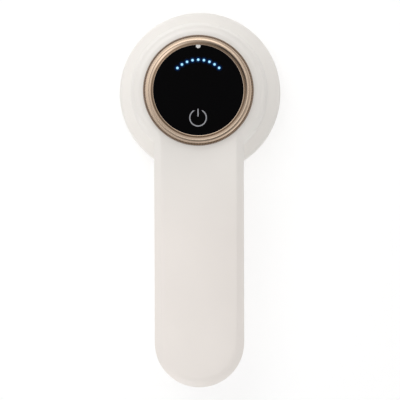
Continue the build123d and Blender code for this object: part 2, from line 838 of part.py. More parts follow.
def make_pad_carrier():
    """Stiff disc under the pad, with the six-sided socket that slips over the hub."""
    plate = disc(pad_radius - pad_lip, carrier_low, carrier_high)
    plate += disc(socket_outer, carrier_low, carrier_high + socket_height)
    side = carrier_rib_width / 2
    rib = block(socket_outer - 1, pad_radius - carrier_rib_gap, -side, side, carrier_high - 0.5,
                carrier_high + carrier_rib_height)
    for k in range(6):
        plate += Rot(0, 0, 60.0 * k + 30.0) * rib
    face = RegularPolygon(hub_inner + hub_play, 6, major_radius=False)
    plate -= extrude(Pos(0, 0, carrier_high) * face, socket_height + 1)
    plate -= tube(keeper_radius, magnet_bore - 0.2, carrier_high - keeper_thickness, carrier_high + 0.1)
    for x, y in on_circle(pad_peg_count, pad_peg_circle):
        plate -= disc(pad_peg_radius, carrier_low - 1, carrier_high + 1, x, y)
    return plate


def make_keeper():
    return tube(keeper_radius, magnet_bore - 0.2, carrier_high - keeper_thickness, carrier_high)


def nub_places():
    places = [(0.0, 0.0)]
    for ring in range(1, nub_ring_count + 1):
        places += on_circle(6 * ring, nub_pitch * ring, 15.0)
    return places


def make_pad():
    """Silicone disc that wraps the carrier's rim, with rings of nubs round a middle one."""
    pad = disc(pad_radius, pad_low, carrier_high - pad_wrap_gap)
    pad = fillet(edges_at(pad, pad_low), pad_edge_radius)
    pad -= disc(pad_radius - pad_lip, carrier_low, carrier_high + 1)
    for x, y in on_circle(pad_peg_count, pad_peg_circle):
        pad += disc(pad_peg_radius, carrier_low - 0.5, carrier_high, x, y)
        pad += disc(pad_peg_radius + pad_peg_head, carrier_high, carrier_high + pad_peg_head, x, y)
    standing = (Align.CENTER, Align.CENTER, Align.MIN)
    nub = Cone(nub_tip_radius, nub_foot_radius, nub_height + 0.5, align=standing)
    nub = fillet(edges_at(nub, 0.0), nub_tip_blend)
    for x, y in nub_places():
        pad += Pos(x, y, 0) * nub
    return pad


def make_speed_ring():
    """Metal ring: knurled side, sloping shoulder, fine groove, convex face, inner bevel."""
    r = ring_outer_radius
    top = ring_high
    ring = turned([
        (dial_tube_outer, ring_low), (r - 0.5, ring_low), (r, ring_low + 0.5), (r, top - 3.4),
        (r - 1.5, top - 0.95), (r - 1.65, top - 1.15), (r - 1.8, top - 0.85), (r - 2.3, top - 0.3),
        (r - 3.1, top), (r - 4.1, top - 0.05), (r - 4.5, top - 0.4),
        (window_radius + 0.25, lip_low + 0.35), (window_radius, lip_low + 0.15),
        (window_radius, lip_low), (dial_tube_outer, lip_low),
    ])
    teeth = []
    for k in range(knurl_count):
        for share, radius in ((0.0, r - knurl_depth), (0.5, r)):
            a = 2 * math.pi * (k + share) / knurl_count
            teeth.append((radius * math.cos(a), radius * math.sin(a)))
    blank = extrude(Pos(0, 0, ring_low + 0.5) * make_face(Polyline(*teeth, close=True)), top - ring_low)
    rest = disc(r + 1, ring_low - 1, ring_low + 0.5)
    return ring & (blank + rest)


def make_ring_carrier():
    sleeve = tube(dial_tube_outer, dial_tube_inner, tube_low, lip_low)
    groove = tube(dial_tube_outer + 1, dial_tube_outer - clip_groove, clip_low, ring_gear_low)
    return sleeve - groove


def make_ring_gear():
    phase = -math.pi / 2
    return gear(ring_gear_module, ring_gear_teeth, ring_gear_low, ring_gear_high, dial_tube_outer, phase)


def make_dial_clip():
    outer = dial_tube_outer + clip_stand_out
    ring = tube(outer, dial_tube_outer - clip_groove, clip_low, ring_gear_low)
    return ring - block(-2.0, 2.0, 0, outer + 1, clip_low - 1, ring_gear_low + 1)


def make_dial_washer():
    inner = housing_hole_radius + 0.2
    return tube(inner + washer_width, inner, ceiling - washer_thickness, ceiling)


def make_chassis():
    """Plate under the dial with the fixed turret that the dial turns on."""
    chassis = disc(ring_gear_pitch, chassis_low, chassis_high)
    half = chassis_ear_radius
    for x, y in chassis_places():
        ear = disc(half, chassis_low, chassis_high, x, y)
        arm = block(ring_gear_pitch - 5.0, chassis_circle, -half, half, chassis_low, chassis_high)
        chassis += ear + Rot(0, 0, math.degrees(math.atan2(y, x))) * arm
    chassis += tube(turret_outer, turret_inner, chassis_low, glass_low - lens_turret_gap)
    for x, y in pillar_places():
        chassis += disc(pillar_radius, chassis_low, display_board_low, x, y)
        chassis -= disc(small_screw[0], chassis_low + 0.4, display_board_low + 1, x, y)
    for x, y in chassis_places():
        chassis -= disc(chassis_screw[0], chassis_low - 1, chassis_high + 1, x, y)
    side = ribbon_width / 2 + 1.0
    fall = -pillar_circle - ribbon_fall
    return chassis - block(ribbon_place - side, ribbon_place + side, fall - 2.7, fall + 2.8,
                           chassis_low - 1, chassis_high + 1)


def make_chassis_screws():
    tip = chassis_high + chassis_screw_grip
    return group(screw(x, y, chassis_low, tip, chassis_screw) for x, y in chassis_places())


def make_encoder():
    y = -encoder_distance
    half = encoder_size / 2
    high = main_board_high + encoder_height
    body = block(-half, half, y - half, y + half, main_board_high, high)
    body += disc(encoder_shaft_radius + 1.2, main_board_high, high + encoder_collar, 0, y)
    return body - disc(encoder_shaft_radius + shaft_clearance, main_board_high + 1.0, high + 5, 0, y)


def make_encoder_pinion():
    y = -encoder_distance
    phase = math.pi / 2 + math.pi / encoder_teeth
    low = ring_gear_low - 0.3
    high = ring_gear_high + 0.1
    wheel = gear(ring_gear_module, encoder_teeth, low, high, encoder_shaft_radius, phase, y)
    return wheel + disc(encoder_shaft_radius, main_board_high + 1.2, high, 0, y)


def lamp_places():
    first = 90.0 - lamp_step * (lamp_count - 1) / 2
    angles = [math.radians(first + lamp_step * k) for k in range(lamp_count)]
    return [(lamp_circle * math.cos(a), lamp_circle * math.sin(a)) for a in angles]


def index_dot(low, high):
    return disc(index_radius, low, high, 0, index_circle) & disc(glass_radius - glass_bevel, low, high)


def make_glass():
    glass = disc(glass_radius, glass_low, glass_high)
    glass = chamfer(edges_at(glass, glass_high), glass_bevel)
    return glass - index_dot(glass_high - index_depth, glass_high + 1)


def make_lens_carrier():
    inner = turret_inner - lens_play
    carrier = disc(inner, lens_disc_low, glass_low)
    skirt_low = display_board_high + press_travel + lens_skirt_lift
    carrier += tube(inner, inner - lens_skirt_wall, skirt_low, glass_low)
    carrier += disc(lens_hub_radius, plunger_high, glass_low)
    for x, y in lamp_places():
        carrier -= disc(light_pin_radius, lens_disc_low - 1, glass_low + 1, x, y)
    return carrier


def make_light_guide():
    """Nine clear pins on a curved bar: the pins light the dots, the feet stand over the lamps."""
    bar_low = lens_disc_low - light_bar_thickness
    foot_low = display_board_high + lamp_height + press_travel + light_foot_clearance
    half = math.radians(lamp_step * (lamp_count - 1) / 2 + 5.0)
    reach = 2 * turret_outer
    wedge = make_face(Polyline(
        (0, 0), (reach * math.sin(half), reach * math.cos(half)), (0, reach * 1.4),
        (-reach * math.sin(half), reach * math.cos(half)), close=True))
    side = light_bar_width / 2
    guide = tube(lamp_circle + side, lamp_circle - side, bar_low, lens_disc_low)
    guide &= extrude(Pos(0, 0, bar_low - 1) * wedge, 10)
    for x, y in lamp_places():
        guide += disc(light_pin_radius, lens_disc_low - 0.2, glass_low, x, y)
        guide += disc(light_foot_radius, foot_low, bar_low + 0.2, x, y)
    return guide


def make_switch_body():
    low = display_board_high
    half = switch_size / 2
    body = block(-half, half, -half, half, low, low + switch_height)
    return body - disc(plunger_radius + plunger_clearance, low + switch_floor, low + switch_height + 1)


def make_switch_plunger():
    return disc(plunger_radius, display_board_high + switch_floor + press_travel + 0.1, plunger_high)


def make_display_board():
    board = disc(turret_inner - board_rim_gap, display_board_low, display_board_high)
    for x, y in pillar_places():
        board -= disc(small_screw[0], display_board_low - 1, display_board_high + 1, x, y)
    return board


def make_lamps():
    low = display_board_high
    half = lamp_size / 2
    places = lamp_places()
    return group(block(x - half, x + half, y - half, y + half, low, low + lamp_height) for x, y in places)


def make_board_screws():
    return group(screw(x, y, display_board_high, chassis_low + 0.8, small_screw) for x, y in pillar_places())


def make_cells():
    cells = []
    for side in (-1, 1):
        cell = Rot(90, 0, 0) * Cylinder(cell_radius, cell_length)
        cell = fillet(cell.edges(), 0.6)
        cells.append(Pos(side * cell_spacing / 2, cell_front - cell_length / 2, cell_height) * cell)
    return cells


def make_cell_tray():
    y0 = cell_back - cell_tray_end
    y1 = cell_front + cell_tray_end
    inner = tray_half_width - cell_tray_side
    tray = block(-tray_half_width, tray_half_width, y0, y1, handle_floor, handle_floor + cell_tray_height)
    long_edges = tray.edges().filter_by(Axis.Y).filter_by(lambda e: e.center().Z < handle_floor + 1)
    tray = fillet(long_edges, cell_tray_corner)
    bed_low = cell_height - 3.0
    bed_high = cell_height + cell_radius
    tray -= block(-inner, inner, y0 + cell_tray_wall, y1 - cell_tray_wall, bed_low, bed_high)
    for side in (-1, 1):
        bed = Rot(90, 0, 0) * Cylinder(cell_radius + cell_tray_play, cell_length + 0.8)
        tray -= Pos(side * cell_spacing / 2, cell_front - cell_length / 2, cell_height) * bed
    return tray


def make_cell_links():
    half = cell_link_width / 2
    low = cell_height - half
    side = cell_spacing / 2
    front = block(-side - half + 0.1, side + half - 0.1, cell_front, cell_front + cell_link_thickness,
                  low, cell_height + half)
    back = cell_back - cell_link_thickness
    high = cell_height + cell_radius + cell_link_rise
    tabs = [block(s * side - half, s * side + half, back, cell_back, low, high) for s in (-1, 1)]
    return group([front] + tabs)


def make_foam():
    half = cell_spacing / 2 + 5.4
    return block(-half, half, cell_back + 17.0, cell_front - 14.0, cell_height + cell_radius, main_board_low)


def make_main_board():
    half = board_half_width
    board = block(-half, half, board_back, board_front, main_board_low, main_board_high)
    board = fillet(board.edges().filter_by(Axis.Z), 2.0)
    for x, y in both_sides(handle_posts[:1]):
        board -= disc(post_radius + 0.4, main_board_low - 1, main_board_high + 1, x, y)
    for x, y in both_sides(board_posts):
        board -= disc(small_screw[0], main_board_low - 1, main_board_high + 1, x, y)
    return board


def make_main_board_screws():
    tip = main_board_high + board_screw_grip
    return group(screw(x, y, main_board_low, tip, small_screw) for x, y in both_sides(board_posts))


def make_chips():
    z = main_board_high
    pieces = []
    for left, width, front, length, height in board_chips:
        y = board_front - front
        pieces.append(block(left, left + width, y - length, y, z, z + height))
    return group(pieces)


def make_coil():
    z = main_board_high
    y = board_front - coil_front
    coil = block(coil_left, coil_left + coil_size, y - coil_size, y, z, z + coil_height)
    return fillet(coil.edges().filter_by(Axis.Z), 1.5)


def make_capacitors():
    z = main_board_high
    y = board_front - capacitor_front
    return group(disc(capacitor_radius, z, z + capacitor_height, x, y) for x in capacitor_places)


def make_sockets():
    z = main_board_high
    half = battery_socket[0] / 2
    y = board_back + socket_margin
    battery = block(-half, half, y, y + battery_socket[1], z, z + battery_socket[2])
    half = ribbon_socket[0] / 2
    y = board_front - ribbon_socket_front
    back = y - ribbon_socket[1]
    ribbon = block(ribbon_place - half, ribbon_place + half, back, y, z, z + ribbon_socket[2])
    return group([battery, ribbon])


def make_ribbon():
    """Flat cable from under the display board, down through the chassis to its socket."""
    high = display_board_low - ribbon_thickness / 2 - 0.2
    low = main_board_high + ribbon_rise
    fall = -pillar_circle - ribbon_fall
    path = FilletPolyline(
        (ribbon_place, fall + 6.3, high), (ribbon_place, fall, high), (ribbon_place, fall, low),
        (ribbon_place, board_front - ribbon_socket_front, low), radius=ribbon_bend)
    start = Plane(origin=path @ 0, x_dir=(1, 0, 0), z_dir=path % 0)
    return sweep(start * Rectangle(ribbon_width, ribbon_thickness), path=path)


def lead(points, bends):
    path = FilletPolyline(*points, radius=bends)
    start = Plane(origin=path @ 0, z_dir=path % 0)
    return sweep(start * Circle(lead_radius), path=path)


def make_motor_leads():
    z = main_board_high + lead_radius
    y = gear_distance - 0.25
    end = board_front - 4.0
    x = terminal_spread
    left = [(-x, y, z), (-x, y - 6.0, z), (-12.5, y - 26.0, z), (-12.5, end, z)]
    right = [(x, y, z), (x, y - 6.0, z), (-7.5, y - 30.0, z), (-7.5, end, z)]
    return group([lead(left, 6.0), lead(right, 6.0)])


def make_battery_leads():
    foot = cell_height + cell_radius + cell_link_rise
    high = main_board_high + battery_lead_rise
    y = cell_back - cell_link_thickness / 2
    x = cell_spacing / 2
    pieces = []
    for side in (-1, 1):
        points = [(side * x, y, foot), (side * x, y, high - 1.4), (side * 2.2, y + 2.6, high),
                  (side * 2.2, board_back + socket_margin, high)]
        pieces.append(lead(points, 2.0))
    return group(pieces)


def make_charge_leads():
    """Two leads up from the charge board, past the rear post and along the main board's edge."""
    z = charge_board_high
    top = main_board_high + lead_radius
    post_x, post_y = handle_posts[1]
    y = charge_board_front - 1.5
    pieces = []
    for shift in (0.0, 2.4):
        x = -(post_x + post_radius + lead_gap + lead_radius) - shift / 2
        points = [(-2.0 - shift, y, z), (-2.0 - shift, y, z + 4.0), (x, post_y - 11.0, z + 5.0),
                  (x, post_y + 8.0, top), (x, board_back + 4.0, top)]
        pieces.append(lead(points, 2.6))
    return group(pieces)


def make_charge_board():
    low = charge_board_low
    high = charge_board_high
    half = charge_board_width / 2
    board = block(-half, half, charge_board_back, charge_board_front, low, high)
    for x, y in both_sides(charge_posts):
        board -= disc(charge_screw[0], low - 1, high + 1, x, y)
    return board


def make_charge_board_screws():
    high = charge_board_high
    tip = high - charge_screw_grip
    return group(screw(x, y, high, tip, charge_screw) for x, y in both_sides(charge_posts))


def make_charge_chip():
    high = charge_board_high
    y = charge_board_front - 8.0
    return block(1.5, 6.0, y - 4.5, y, high, high + 1.0)


def make_charge_port():
    front = handle_end + port_sink
    back = front + port_depth
    shell = stadium(port_width, port_thickness, front, back)
    wall = 2 * port_shell
    shell -= stadium(port_width - wall, port_thickness - wall, front - 1, back - port_end_wall)
    side = port_tongue_width / 2
    half = port_tongue_thickness / 2
    return shell + block(-side, side, front + 0.7, back, port_height - half, port_height + half)


def make_port_bezel(outer):
    seat = handle_end + port_seat
    edge = 2 * port_flange_edge
    bezel = stadium(port_bezel_width, port_bezel_height, handle_end - 2, seat) & outer
    bezel += stadium(port_bezel_width + edge, port_bezel_height + edge, seat, port_flange_back)
    play = 2 * port_play
    return bezel - stadium(port_width + play, port_thickness + play, handle_end - 4, port_flange_back + 4)


def make_port_gasket():
    edge = 2 * port_gasket_edge
    back = port_flange_back + port_gasket
    ring = stadium(port_bezel_width + edge, port_bezel_height + edge, port_flange_back, back)
    return ring - stadium(port_width, port_thickness, handle_end, back + 1)


def main():
    os.makedirs("parts", exist_ok=True)
    upper, lower, outer = make_housing()
    cell_left, cell_right = make_cells()
    nodes = {
        "upper_housing": upper,
        "lower_housing": lower,
        "housing_screws": make_housing_screws(),
        "screw_caps": make_screw_caps(),
        "head_skirt": make_skirt(),
        "base_plate": make_base_plate(),
        "base_screws": make_base_screws(),
        "speed_ring": make_speed_ring(),
        "ring_carrier": make_ring_carrier(),
        "ring_gear": make_ring_gear(),
        "dial_clip": make_dial_clip(),
        "dial_washer": make_dial_washer(),
        "dial_chassis": make_chassis(),
        "chassis_screws": make_chassis_screws(),
        "encoder_body": make_encoder(),
        "encoder_pinion": make_encoder_pinion(),
        "display_glass": make_glass(),
        "index_dot": index_dot(glass_high - index_depth, glass_high),
        "lens_carrier": make_lens_carrier(),
        "light_guide": make_light_guide(),
        "switch_body": make_switch_body(),
        "switch_plunger": make_switch_plunger(),
        "display_board": make_display_board(),
        "display_lamps": make_lamps(),
        "display_board_screws": make_board_screws(),
        "display_ribbon": make_ribbon(),
        "motor_mount": make_mount_plate(),
        "mount_screws": make_mount_screws(),
        "motor_screws": make_motor_screws(),
        "motor_can": make_motor_can(),
        "motor_end_cap": make_end_cap(),
        "motor_terminals": make_terminals(),
        "motor_magnets": make_magnets(),
        "motor_leads": make_motor_leads(),
        "armature": make_armature(),
        "motor_shaft": make_motor_shaft(),
        "motor_pinion": make_motor_pinion(),
        "lower_bush": make_bush(base_low, bush_high, base_high + base_boss_rise, bush_high),
        "upper_bush": make_bush(floor_high - 0.4, upper_bush_high, mount_high, mount_high + 1.0),
        "spindle": make_spindle(),
        "spindle_gear": make_spindle_gear(),
        "spindle_clip": make_spindle_clip(),
        "spindle_seal": make_spindle_seal(),
        "drive_hub": make_hub(),
        "hub_magnet": make_hub_magnet(),
        "hub_screw": make_hub_screw(),
        "pad_carrier": make_pad_carrier(),
        "pad_keeper": make_keeper(),
        "nub_pad": make_pad(),
        "cells": group([cell_left, cell_right]),
        "cell_tray": make_cell_tray(),
        "cell_links": make_cell_links(),
        "cell_foam": make_foam(),
        "main_board": make_main_board(),
        "main_board_screws": make_main_board_screws(),
        "board_parts": group([make_chips(), make_coil(), make_capacitors(), make_sockets()]),
        "board_leads": group([make_battery_leads(), make_charge_leads()]),
        "charge_board": group([make_charge_board(), make_charge_chip(), make_charge_board_screws()]),
        "charge_port": make_charge_port(),
        "port_trim": group([make_port_bezel(outer), make_port_gasket()]),
    }
    for name, shape in nodes.items():
        shape.label = name
        export_step(shape, os.path.join("parts", name + ".step"))
        print(name, round(shape.volume, 1), len(shape.solids()), shape.is_valid)


main()
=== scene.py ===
import math

import bmesh
import bpy
import numpy as np
from mathutils import Matrix, Vector


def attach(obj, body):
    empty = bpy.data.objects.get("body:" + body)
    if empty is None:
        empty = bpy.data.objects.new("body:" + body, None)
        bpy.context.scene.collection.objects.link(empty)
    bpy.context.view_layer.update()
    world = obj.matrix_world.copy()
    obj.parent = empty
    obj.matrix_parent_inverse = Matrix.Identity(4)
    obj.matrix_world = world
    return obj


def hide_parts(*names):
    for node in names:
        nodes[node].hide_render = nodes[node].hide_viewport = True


# Cordless massager with a round nub pad: finish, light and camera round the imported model.
# Sizes are in millimetres here and turned to metres when a mesh or a lamp is made.
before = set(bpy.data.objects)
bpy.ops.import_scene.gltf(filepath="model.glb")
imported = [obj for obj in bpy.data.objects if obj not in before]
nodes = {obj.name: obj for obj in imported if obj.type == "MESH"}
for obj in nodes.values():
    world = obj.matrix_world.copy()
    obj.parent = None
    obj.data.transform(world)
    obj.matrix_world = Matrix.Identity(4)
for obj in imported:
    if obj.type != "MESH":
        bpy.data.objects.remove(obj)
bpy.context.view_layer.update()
mm = 0.001


# Sheets: grids of points in millimetres, with the four-sided faces between them.
meshing = {"weld": 2e-7, "thinnest": 1e-8, "sharp": 35}


def smoothStep(values, start, end):
    # 0 before start, 1 after end, and 3t^2 - 2t^3 in between
    t = np.clip((np.asarray(values, float) - start) / (end - start), 0, 1)
    return t * t * (3 - 2 * t)


def softened(corners, steps=5):
    # a run of straight lines whose corners are parabolas: corner + side * (1 - t)^2 and t^2
    # corners hold across, height and how far from the corner the bend starts
    corners = np.array(corners, float)
    bend = np.linspace(0, 1, steps)[:, None]
    run = [corners[:1, :2]]
    for before, corner, after in zip(corners[:-2], corners[1:-1], corners[2:]):
        back = before[:2] - corner[:2]
        ahead = after[:2] - corner[:2]
        backLength = max(np.hypot(*back), 1e-9)
        aheadLength = max(np.hypot(*ahead), 1e-9)
        reach = min(corner[2], backLength * 0.5, aheadLength * 0.5)
        leaving = back / backLength * reach * (1 - bend) ** 2
        arriving = ahead / aheadLength * reach * bend ** 2
        run.append(corner[:2] + leaving + arriving)
    run.append(corners[-1:, :2])
    return np.vstack(run)


def sheetOf(points, roundColumns=True, roundRows=False):
    # four-sided faces of a grid of points; a round way joins its last line to its first
    rows, columns = points.shape[:2]
    index = np.arange(rows * columns).reshape(rows, columns)
    if roundColumns:
        index = np.hstack([index, index[:, :1]])
    if roundRows:
        index = np.vstack([index, index[:1]])
    faces = np.stack([index[:-1, :-1], index[:-1, 1:], index[1:, 1:], index[1:, :-1]], -1)
    return points.reshape(-1, 3), faces.reshape(-1, 4)


def turned(profile, columns=96, centre=(0.0, 0.0), closed=True):
    # x = r cos a, y = r sin a, z = height, for every radius and height of the profile
    profile = np.asarray(profile, float)
    angle = np.linspace(0, 2 * np.pi, columns, endpoint=False)
    x = centre[0] + profile[:, :1] * np.cos(angle)
    y = centre[1] + profile[:, :1] * np.sin(angle)
    z = np.broadcast_to(profile[:, 1:2], x.shape)
    return sheetOf(np.stack([x, y, z], -1), roundRows=closed)


def brick(x0, x1, y0, y1, z0, z1):
    # four corners at two heights, closed at both ends by a ring drawn together to the middle
    ring = np.array([[x0, y0], [x1, y0], [x1, y1], [x0, y1]], float)
    middle = np.tile(ring.mean(0), (4, 1))
    levels = [(middle, z0), (ring, z0), (ring, z1), (middle, z1)]
    return sheetOf(np.stack([np.column_stack([line, np.full(4, z)]) for line, z in levels]))


def makePiece(name, sheets, body, material, standsFor=(), sharp=meshing["sharp"]):
    # all sheets in one mesh, welded where they meet, riding on its body; sharp is in degrees
    start = 0
    corners, faces = [], []
    for points, quads in sheets:
        corners.append(points)
        faces.append(quads + start)
        start += len(points)
    mesh = bpy.data.meshes.new(name)
    mesh.from_pydata((np.vstack(corners) * mm).tolist(), [], np.vstack(faces).tolist())
    work = bmesh.new()
    work.from_mesh(mesh)
    bmesh.ops.remove_doubles(work, verts=work.verts, dist=meshing["weld"])
    bmesh.ops.dissolve_degenerate(work, edges=work.edges, dist=meshing["thinnest"])
    bmesh.ops.recalc_face_normals(work, faces=work.faces)
    work.to_mesh(mesh)
    work.free()
    mesh.shade_smooth()
    mesh.set_sharp_from_angle(angle=math.radians(sharp))
    piece = bpy.data.objects.new(name, mesh)
    bpy.context.scene.collection.objects.link(piece)
    mesh.materials.append(material)
    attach(piece, body)
    if standsFor:
        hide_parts(*standsFor)


# Shader helpers: each adds nodes to a tree and gives back the socket that holds the result.
def add(tree, kind, **settings):
    node = tree.nodes.new("ShaderNode" + kind)
    for key, value in settings.items():
        setattr(node, key, value)
    return node


def plug(tree, value, socket):
    # a socket is linked and a constant is set
    if isinstance(value, bpy.types.NodeSocket):
        tree.links.new(value, socket)
    elif value is not None:
        socket.default_value = value


def maths(tree, operation, a, b=None, c=None):
    node = add(tree, "Math", operation=operation)
    for value, socket in zip((a, b, c), node.inputs):
        plug(tree, value, socket)
    return node.outputs[0]


def noise(tree, vector, scale, detail=2.0, rough=0.5):
    node = add(tree, "TexNoise")
    plug(tree, vector, node.inputs["Vector"])
    plug(tree, scale, node.inputs["Scale"])
    node.inputs["Detail"].default_value = detail
    node.inputs["Roughness"].default_value = rough
    return node.outputs["Fac"]


def cells(tree, vector, scale, feature="F1", output="Distance"):
    node = add(tree, "TexVoronoi", feature=feature)
    plug(tree, vector, node.inputs["Vector"])
    plug(tree, scale, node.inputs["Scale"])
    return node.outputs[output]


def stretched(tree, vector, x, y, z):
    node = add(tree, "VectorMath", operation="MULTIPLY")
    plug(tree, vector, node.inputs[0])
    node.inputs[1].default_value = (x, y, z)
    return node.outputs[0]


def ranged(tree, value, low, high, newLow=0.0, newHigh=1.0):
    node = add(tree, "MapRange", interpolation_type="SMOOTHSTEP")
    for item, socket in zip((value, low, high, newLow, newHigh), node.inputs):
        plug(tree, item, socket)
    return node.outputs[0]


def blended(tree, factor, first, second, way="MIX"):
    # the node's colours are its inputs 6 and 7, and their blend is its output 2
    node = add(tree, "Mix", data_type="RGBA", blend_type=way)
    plug(tree, factor, node.inputs[0])
    plug(tree, first, node.inputs[6])
    plug(tree, second, node.inputs[7])
    return node.outputs[2]


def flatLength(tree, place):
    # distance from the Z axis
    length = add(tree, "VectorMath", operation="LENGTH")
    plug(tree, stretched(tree, place, 1, 1, 0), length.inputs[0])
    return length.outputs["Value"]


def parted(tree, place):
    # x, y and z of a place
    split = add(tree, "SeparateXYZ")
    plug(tree, place, split.inputs[0])
    return split.outputs


def grouped(name, inputs, outputs, build):
    # a node group: build turns the sockets of the inputs into one value for each output
    tree = bpy.data.node_groups.new(name, "ShaderNodeTree")
    for title, kind in inputs.items():
        tree.interface.new_socket(title, in_out="INPUT", socket_type="NodeSocket" + kind)
    for title in outputs:
        tree.interface.new_socket(title, in_out="OUTPUT", socket_type="NodeSocketFloat")
    entry = tree.nodes.new("NodeGroupInput")
    leave = tree.nodes.new("NodeGroupOutput")
    results = build(tree, *[entry.outputs[title] for title in inputs])
    for value, socket in zip(results, leave.inputs):
        plug(tree, value, socket)
    return tree


def pattern(name, build):
    # every pattern takes a place and a scale, and gives a height, a tint and a gloss from 0 to 1
    inputs = {"Place": "Vector", "Scale": "Float"}
    return grouped(name, inputs, ("Height", "Tint", "Gloss"), build)


def placed(tree, group, place):
    # a group's node, fed with a place
    node = add(tree, "Group", node_tree=group)
    plug(tree, place, node.inputs["Place"])
    return node


def weighted(tree, first, second, share):
    # share of the first height and the rest of the second
    rest = maths(tree, "MULTIPLY", second, round(1 - share, 6))
    return maths(tree, "ADD", maths(tree, "MULTIPLY", first, share), rest)


def mouldGrain(tree, place, scale):
    # fine etched grain of a steel mould, faint flow clouds and a few rubbed spots
    fine = noise(tree, place, scale, 3.0, 0.6)
    pits = cells(tree, place, maths(tree, "MULTIPLY", scale, 0.55))
    height = weighted(tree, fine, pits, 0.7)
    clouds = noise(tree, place, maths(tree, "MULTIPLY", scale, 0.008), 3.0)
    rubbed = noise(tree, place, maths(tree, "MULTIPLY", scale, 0.03), 4.0, 0.65)
    return height, ranged(tree, clouds, 0.3, 0.7), ranged(tree, rubbed, 0.35, 0.7)


def turnedMarks(tree, place, scale):
    # rings left by a lathe tool about the spindle axis: noise of the distance from the axis
    join = add(tree, "CombineXYZ")
    plug(tree, flatLength(tree, place), join.inputs[0])
    plug(tree, parted(tree, place)[2], join.inputs[1])
    rings = noise(tree, join.outputs[0], scale, 2.0, 0.7)
    patches = noise(tree, place, maths(tree, "MULTIPLY", scale, 0.02), 3.0)
    grit = noise(tree, place, maths(tree, "MULTIPLY", scale, 0.7), 1.0)
    height = weighted(tree, rings, grit, 0.75)
    return height, ranged(tree, patches, 0.3, 0.7), ranged(tree, rings, 0.3, 0.7)


def brushedLines(tree, place, scale):
    # hair lines along Y with rolled waves and a dull patch here and there
    lines = noise(tree, stretched(tree, place, 1, 0.03, 1), scale, 3.0, 0.7)
    patches = noise(tree, place, maths(tree, "MULTIPLY", scale, 0.05), 3.0)
    return lines, ranged(tree, patches, 0.35, 0.7), ranged(tree, lines, 0.3, 0.7)


def softSkin(tree, place, scale):
    # matt skin of a soft moulding: low dimples, dust caught in a few places
    dimples = cells(tree, place, scale, "SMOOTH_F1")
    fine = noise(tree, place, maths(tree, "MULTIPLY", scale, 2.6), 2.0)
    height = weighted(tree, dimples, fine, 0.6)
    dust = noise(tree, place, maths(tree, "MULTIPLY", scale, 0.06), 5.0, 0.7)
    return height, ranged(tree, dust, 0.45, 0.75), ranged(tree, fine, 0.3, 0.7)


def boardWeave(tree, place, scale):
    # glass weave under the lacquer, with copper tracks that show as raised lighter lines
    weave = add(tree, "TexBrick")
    plug(tree, place, weave.inputs["Vector"])
    plug(tree, scale, weave.inputs["Scale"])
    weave.inputs["Mortar Size"].default_value = 0.03
    coarse = maths(tree, "MULTIPLY", scale, 0.5)
    edge = cells(tree, stretched(tree, place, 1, 0.6, 0), coarse, "DISTANCE_TO_EDGE")
    tracks = ranged(tree, edge, 0.10, 0.04)
    height = weighted(tree, tracks, weave.outputs["Fac"], 0.8)
    return height, tracks, weave.outputs["Fac"]


def stackedSheets(tree, place, scale):
    # thin sheets stacked along Z, seen as fine lines, with wound wire between them
    turns = maths(tree, "SINE", maths(tree, "MULTIPLY", parted(tree, place)[2], scale))
    lines = maths(tree, "ADD", maths(tree, "MULTIPLY", turns, 0.5), 0.5)
    patches = noise(tree, place, maths(tree, "MULTIPLY", scale, 0.1), 3.0)
    return lines, lines, patches


def speckle(tree, place, scale):
    # pressed powder: light and dark grains, pores between them
    shade = parted(tree, cells(tree, place, scale, "F1", "Color"))
    return cells(tree, place, scale), shade[0], shade[1]


patterns = {
    "grain": pattern("mouldGrain", mouldGrain),
    "turned": pattern("turnedMarks", turnedMarks),
    "brushed": pattern("brushedLines", brushedLines),
    "soft": pattern("softSkin", softSkin),
    "board": pattern("boardWeave", boardWeave),
    "stacked": pattern("stackedSheets", stackedSheets),
    "speckle": pattern("speckle", speckle),
}


def startMaterial(name, kind, scale):
    # a material whose pattern is laid on the object's own coordinates; scale counts to the metre
    material = bpy.data.materials.new(name)
    material.use_nodes = True
    tree = material.node_tree
    shader = tree.nodes["Principled BSDF"]
    place = add(tree, "TexCoord").outputs["Object"]
    marks = placed(tree, patterns[kind], place)
    marks.inputs["Scale"].default_value = scale
    return material, tree, shader, marks, place


def relief(tree, height, depth, shader):
    # small unevenness of the surface; depth is in millimetres
    bump = add(tree, "Bump")
    bump.inputs["Strength"].default_value = 1.0
    bump.inputs["Distance"].default_value = depth * mm
    plug(tree, height, bump.inputs["Height"])
    plug(tree, bump.outputs[0], shader.inputs["Normal"])


def finishOf(name, colour, rough, kind="grain", scale=2600.0, depth=0.01, second=None, share=0.5,
             spread=0.08, metal=0.0, sockets=None):
    # the pattern's tint leads from colour to second, and its gloss spreads round the roughness
    material, tree, shader, marks = startMaterial(name, kind, scale)[:4]
    other = second if second else tuple(c * 0.93 for c in colour)
    amount = maths(tree, "MULTIPLY", marks.outputs["Tint"], share)
    plug(tree, blended(tree, amount, (*colour, 1), (*other, 1)), shader.inputs["Base Color"])
    gloss = maths(tree, "MULTIPLY_ADD", marks.outputs["Gloss"], spread, rough - spread / 2)
    plug(tree, gloss, shader.inputs["Roughness"])
    relief(tree, marks.outputs["Height"], depth, shader)
    shader.inputs["Metallic"].default_value = metal
    for title, value in (sockets or {}).items():
        shader.inputs[title].default_value = value
    return material


print("patterns:", len(patterns))

